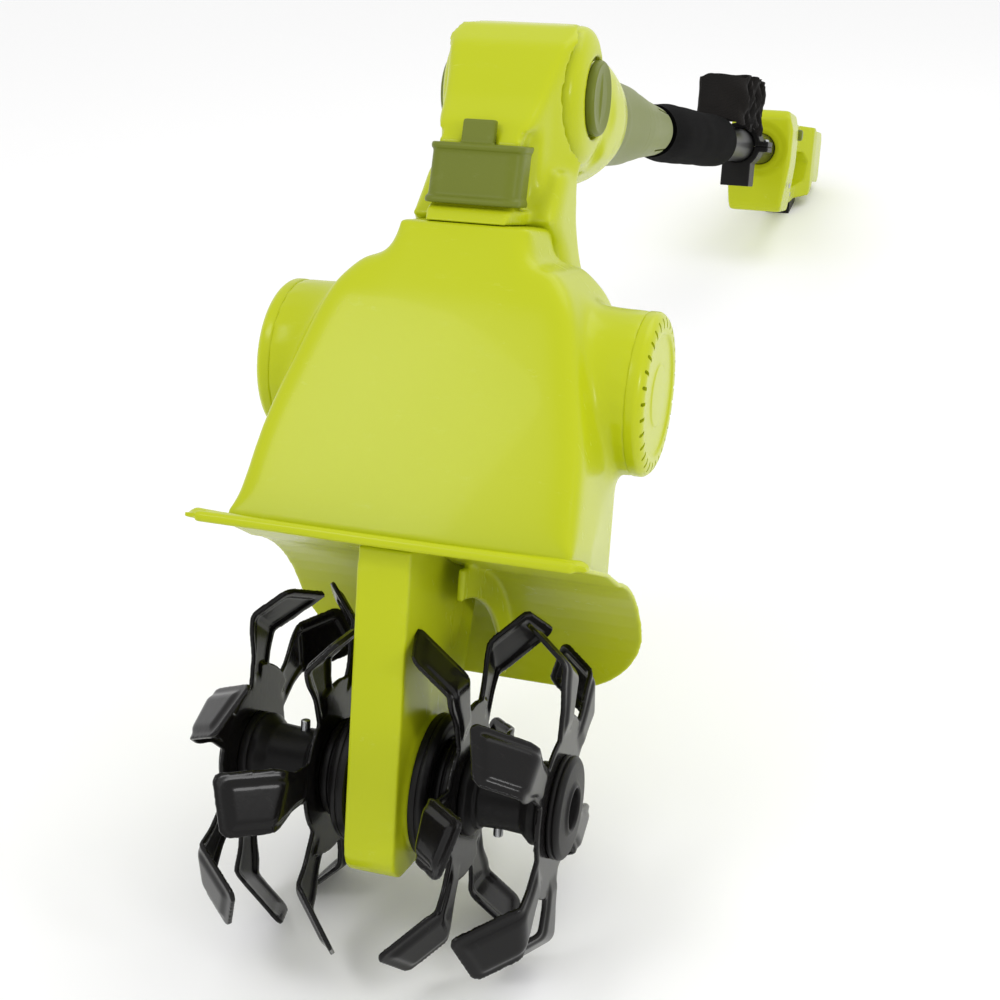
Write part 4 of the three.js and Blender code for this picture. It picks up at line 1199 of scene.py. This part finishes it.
@dataclass
class Pole:
    """The twist collar, its collet, the tube and the foam grip."""

    z: float = 165.0
    radius: float = 18.5
    collar_start: float = 207.0
    collar_end: float = 329.7
    collet_end: float = 470.0
    foam_start: float = 480.0
    foam_end: float = 790.0

    def build(self) -> None:
        """Makes the collar, collet, tube and foam."""
        self.collar()
        self.collet()
        tube = rounded([(16, 170), (18.5, 170), (18.5, 1160), (16, 1160)], 0.5, steps=2)
        turned_piece("sliding_tube", lathe(tube, "Y", (0, self.z), 96), TUBE, "rear", ["pole_tube"])
        self.foam()

    def collar(self) -> None:
        """Makes the twist collar with ribs round its grip."""
        start, end = self.collar_start, self.collar_end
        profile = rounded([(23.4, start), (35.4, start), (36, start + 2), (35.6, start + 34), (34.8, start + 44),
                           (33.4, start + 80), (32.0, end - 3), (31.4, end), (23.4, end)],
                          1.4, steps=3)
        shape = lathe(profile, "Y", (0, self.z), 120)
        piece = to_object("twist_collar", to_mesh("twist_collar", shape))
        rib = prism(rounded([(-1.6, -2.0), (1.6, -2.0), (1.2, 0.5), (-1.2, 0.5)], 0.8, steps=2), 4.0, 26.0,
                    lambda u, v, w: (u, w, v))
        count = 24
        places = []
        for i in range(count):
            turn = Matrix.Rotation(math.tau * i / count, 4, "Y")
            places.append(Matrix.Translation((0, start, self.z)) @ turn @ Matrix.Translation((0, 0, 35)))
        ribs = copies("collar_ribs", places, rib, OLIVE)
        finish_piece(ribs, OLIVE, "nut")
        finish_piece(piece, OLIVE, "nut", ["collar_nut"])

    def collet(self) -> None:
        """Makes the tapering split collet that closes on the tube."""
        start = self.collar_end + 0.6
        end = self.collet_end
        profile = rounded([(19, start), (31, start), (31, start + 5), (29.6, start + 7), (29, start + 30),
                           (25.5, start + 70), (22.2, end - 14), (21.6, end - 3), (20.4, end), (19, end)],
                          3.0, steps=3)
        piece = to_object("split_collet", to_mesh("split_collet", lathe(profile, "Y", (0, self.z), 120)))
        for i in range(4):
            angle = math.tau * (i + 0.5) / 4
            blade = block((-1.1, end - 52, 5), (1.1, end + 4, 50)).moved(Matrix.Rotation(angle, 4, "Y"))
            cut(piece, blade.moved(Matrix.Translation((0, 0, self.z))))
        finish_piece(piece, OLIVE, "fork", ["collet"])

    def foam(self) -> None:
        """Makes the foam grip, a little uneven along its length."""
        start, end = self.foam_start, self.foam_end
        outer: Outline = []
        steps = 90
        for i in range(steps + 1):
            t = i / steps
            ease = min(1.0, (t * (end - start)) / 70.0)
            back = min(1.0, ((1 - t) * (end - start)) / 9.0)
            radius = 22.8 + 3.7 * math.sin(ease * math.pi / 2) - 4.0 * (1 - math.sqrt(1 - (1 - back) ** 2))
            outer.append((radius, start + (end - start) * t))
        profile = [(18.8, start + 1)] + outer + [(18.8, end - 1)]
        shape = lathe(profile, "Y", (0, self.z), 96)
        middle = Vector((0, 0, self.z))
        for index, point in enumerate(shape.points):
            spot = Vector(point)
            away = Vector((spot.x, 0, spot.z - self.z))
            if away.length > 20.0:
                wobble = noise.noise(Vector((spot.x, spot.y * 0.6, spot.z)) * 0.035) * 0.9
                away *= 1 + wobble / away.length
                shape.points[index] = (away.x, spot.y, middle.z + away.z)
        piece = turned_piece("foam_grip", shape, FOAM, "rear", ["foam_sleeve"])


@dataclass
class StrapMount:
    """The clamp on the tube, its ring and the folded shoulder strap."""

    z: float = 165.0
    front: float = 815.0
    back: float = 935.0
    half: float = 27.0
    width: float = 46.0
    thickness: float = 1.9
    layers: int = 12
    seed: int = 7

    def build(self) -> None:
        """Makes the clamp halves, the ring and the strap."""
        moulded_piece("clamp_top", ["strap_clamp_upper"], BLACK, "rear", 0.7, 6)
        moulded_piece("clamp_bottom", ["strap_clamp_lower"], BLACK, "rear", 0.7, 6)
        places = [facing((x, 968.0, self.z + 6.2), (0, 0, 1)) for x in (-30.0, 30.0)]
        finish_piece(copies("clamp_screws", places, screw_head(3.2, 2.4), STEEL), STEEL, "rear")
        self.ring()
        self.strap()

    def ring(self) -> None:
        """Makes the round wire ring."""
        centre = (0.0, self.z + 50.0)
        shape = Shape()
        steps, sides = 96, 20
        for i in range(steps):
            a = math.tau * i / steps
            for k in range(sides):
                b = math.tau * k / sides
                reach = 20.0 + 2.4 * math.cos(b)
                shape.points.append((centre[0] + reach * math.cos(a), 968.0 + 2.4 * math.sin(b),
                                     centre[1] + reach * math.sin(a)))
        for i in range(steps):
            for k in range(sides):
                n, m = (i + 1) % steps, (k + 1) % sides
                shape.faces.append((i * sides + k, n * sides + k, n * sides + m, i * sides + m))
        turned_piece("wire_ring", shape, STEEL, "ring", ["strap_ring"])

    def path(self) -> list[tuple[float, float]]:
        """Gives the strap's to-and-fro path, seen from above."""
        random = Random(self.seed)
        spots: list[tuple[float, float]] = []
        pitch = (self.back - self.front - 8.0) / (self.layers - 1)
        for layer in range(self.layers):
            y = self.front + 4.0 + pitch * layer
            ends = [-self.half + 5 + random.uniform(-3, 2), self.half - 6 + random.uniform(-2, 3)]
            if layer % 2:
                ends.reverse()
            steps = 14
            for i in range(steps + 1):
                t = i / steps
                bow = 1.2 * math.sin(t * math.pi) * (-1) ** layer
                spots.append((ends[0] + (ends[1] - ends[0]) * t, y + bow))
            if layer < self.layers - 1:
                way = 1.0 if ends[1] > 0 else -1.0
                for i in range(1, 8):
                    angle = math.pi * i / 8
                    spots.append((ends[1] + way * pitch * 0.62 * math.sin(angle),
                                  y + pitch / 2 * (1 - math.cos(angle))))
        return spots

    def strap(self) -> None:
        """Makes the folded webbing, whose fold ends crumple and hang on the right."""
        path = self.path()
        runs = [0.0]
        for (ax, ay), (bx, by) in zip(path, path[1:]):
            runs.append(runs[-1] + math.hypot(bx - ax, by - ay))
        columns = 12
        shape = Shape()
        layers: list[list[int]] = []
        for i, (x, y) in enumerate(path):
            ax, ay = path[max(i - 1, 0)]
            bx, by = path[min(i + 1, len(path) - 1)]
            along = Vector((bx - ax, by - ay)).normalized()
            out = Vector((along.y, -along.x))
            droop = max(0.0, (x - 4.0) / 22.0)
            fall = -11.0 * droop ** 2 * (0.5 + 0.5 * math.sin(y * 0.21))
            row = []
            for layer in (-0.5, 0.5):
                for k in range(columns + 1):
                    v = k / columns
                    narrow = 1.0 - 0.20 * smooth_step(-x, 13, 27) ** 2
                    level = 191.0 + self.width * (0.5 + (v - 0.5) * narrow) + fall * (1 - 0.5 * v)
                    level += 2.0 * noise.noise(Vector((x * 0.05, y * 0.08, 3.0)))
                    wave = 2.6 * droop * math.sin(v * 9.0 + y * 0.5)
                    wave += 0.8 * noise.noise(Vector((x * 0.08, y * 0.5, v * 4.0)))
                    shift = layer * self.thickness + wave
                    row.append(len(shape.points))
                    shape.points.append((x + out.x * shift, y + out.y * shift, level))
                    shape.spots.append((runs[i], self.width * v))
            layers.append(row)
        half = columns + 1
        for low, high in zip(layers, layers[1:]):
            for k in range(columns):
                shape.faces.append((low[k], high[k], high[k + 1], low[k + 1]))
                shape.faces.append((low[half + k], low[half + k + 1], high[half + k + 1], high[half + k]))
            shape.faces.append((low[0], low[half], high[half], high[0]))
            shape.faces.append((low[columns], high[columns], high[half + columns], low[half + columns]))
        for row, flip in ((layers[0], False), (layers[-1], True)):
            for k in range(columns):
                face = (row[k], row[k + 1], row[half + k + 1], row[half + k])
                shape.faces.append(tuple(reversed(face)) if flip else face)
        piece = turned_piece("strap_webbing", shape, WEBBING, "rear", ["folded_strap"])


@dataclass
class RearHandle:
    """The rear housing, its trigger, lock button, foot and battery."""

    front: float = 1118.0
    half: float = 40.0
    pole_z: float = 165.0

    def mouth(self) -> Shape:
        """Gives the round opening to be cut through the front wall."""
        start, end = self.front - 5, self.front + 3.4
        return lathe([(0, start), (34.5, start), (34.5, end), (0, end)], "Y", (0.0, self.pole_z), 96)

    def dish(self) -> Shape:
        """Gives the stepped dish that closes the opening round the tube."""
        start = self.front
        profile = [(18.9, start + 4.4), (22.0, start + 4.4), (23.4, start + 2.4), (28.0, start + 2.2),
                   (32.5, start + 0.6), (36.4, start + 0.6), (36.4, start + 8.5), (18.9, start + 8.5)]
        return lathe(profile, "Y", (0.0, self.pole_z), 96)

    def blend(self, point: Vector) -> float:
        """Tells how round the housing is at a point: soft ends, crisp loop and openings."""
        front = 1.0 - smooth_step(point.y, self.front + 70, self.front + 90)
        near_tube = smooth_step(math.hypot(point.x, point.z - self.pole_z), 36, 40)
        return front * near_tube

    def build(self) -> None:
        """Makes the housing halves and everything on them."""
        nodes = ["handle_left", "handle_right"]
        moulded_piece("handle_shell", nodes, LIME, "rear", 1.3, 8, cuts=[self.mouth()],
                      extra=self.dish(), blend=(60, self.blend))
        moulded_piece("trigger_lever", ["trigger"], BLACK, "trigger", 0.6, 5)
        moulded_piece("lock_knob", ["lock_button"], OLIVE, "lock_button", 0.5, 3)
        moulded_piece("rubber_foot", ["handle_foot"], BLACK, "rear", 0.8, 4)
        room = block((-13.8, 1419.5, 188.4), (13.8, 1443.1, 203))
        moulded_piece("battery_case", ["battery_pack"], LIME, "battery", 1.1, 8, cuts=[room])
        moulded_piece("battery_catch", ["battery_release"], OLIVE, "battery_release", 0.6, 3)
        places = [facing((self.half * 0.99, y, z), (1, 0, 0)) for y, z in ((1135.0, 122.0),)]
        places += [facing((19.4, y, z), (1, 0, 0)) for y, z in ((1300.0, 110.0), (1290.0, 186.0))]
        piece = copies("handle_screws", places, screw_head(3.2, 1.4), STEEL)
        finish_piece(piece, STEEL, "rear")


# ---------- surroundings ----------

@dataclass(frozen=True)
class Lamp:
    """One large soft light."""

    name: str
    place: tuple[float, float, float]
    aim: tuple[float, float, float]
    size: float
    power: float

    def add(self) -> None:
        """Puts the light in the scene."""
        light = bpy.data.lights.new(self.name, "AREA")
        light.shape = "SQUARE"
        light.size = self.size
        light.energy = self.power
        lamp = bpy.data.objects.new(self.name, light)
        lamp.location = self.place
        lamp.rotation_euler = (Vector(self.aim) - Vector(self.place)).to_track_quat("-Z", "Y").to_euler()
        bpy.context.scene.collection.objects.link(lamp)


@dataclass(frozen=True)
class Studio:
    """The pale floor, the soft lights and the camera."""

    camera_place: tuple[float, float, float] = (0.3104, -1.4658, 0.7177)
    camera_turn: tuple[float, float, float] = (61.673, 1.449, 17.844)
    lens: float = 57.6
    floor_reach: float = 30.0

    def build(self) -> None:
        """Makes the floor, world, lights and camera."""
        self.floor()
        self.world()
        head = (0.0, -0.62, 0.28)
        Lamp("key", (-0.7, -1.5, 1.7), head, 0.5, 5.0).add()
        Lamp("fill", (1.5, -1.1, 0.9), head, 0.3, 4.0).add()
        Lamp("rim", (0.6, 0.4, 1.6), head, 1.2, 6.0).add()
        self.camera()

    def floor(self) -> None:
        """Makes the plain pale floor."""
        reach = self.floor_reach
        corners = [(-reach, -reach, 0), (reach, -reach, 0), (reach, reach, 0), (-reach, reach, 0)]
        mesh = bpy.data.meshes.new("floor")
        mesh.from_pydata(corners, [], [(0, 1, 2, 3)])
        material = bpy.data.materials.new("pale_floor")
        material.use_nodes = True
        shader = material.node_tree.nodes["Principled BSDF"]
        shader.inputs["Base Color"].default_value = (0.97, 0.97, 0.97, 1)
        shader.inputs["Roughness"].default_value = 0.9
        shader.inputs["Specular IOR Level"].default_value = 0.1
        mesh.materials.append(material)
        to_object("floor", mesh)

    def world(self) -> None:
        """Makes the even white surroundings."""
        world = bpy.data.worlds.new("studio")
        world.use_nodes = True
        back = world.node_tree.nodes["Background"]
        back.inputs["Color"].default_value = (1.0, 1.0, 1.0, 1.0)
        back.inputs["Strength"].default_value = 0.95
        bpy.context.scene.world = world
        bpy.context.scene.view_settings.view_transform = "Standard"

    def camera(self) -> None:
        """Makes the camera, low in front of the head and looking back along the pole."""
        data = bpy.data.cameras.new("camera")
        data.lens = self.lens
        data.sensor_width = 36.0
        data.clip_start = 0.01
        camera = bpy.data.objects.new("camera", data)
        camera.location = self.camera_place
        camera.rotation_euler = Euler([math.radians(a) for a in self.camera_turn])
        bpy.context.scene.collection.objects.link(camera)
        bpy.context.scene.camera = camera


# ---------- the whole tool ----------

def dress_frame() -> None:
    """Gives every CAD node the finish of its slot."""
    for row in frame["record"]["subparts"]:
        node = frame["nodes"][row["node"]]
        finish = FINISHES[row["material_slot"]]
        node.data.materials.clear()
        node.data.materials.append(finish.material())


def main() -> None:
    """Builds the tool's looks on the frame, then the studio round it."""
    Studio().build()
    dress_frame()
    for assembly in (Head(), Motor(), TineRow(), Knuckle(), Pole(), StrapMount(), RearHandle()):
        log.info("building %s", type(assembly).__name__)
        assembly.build()


if __name__ == "__main__":
    main()
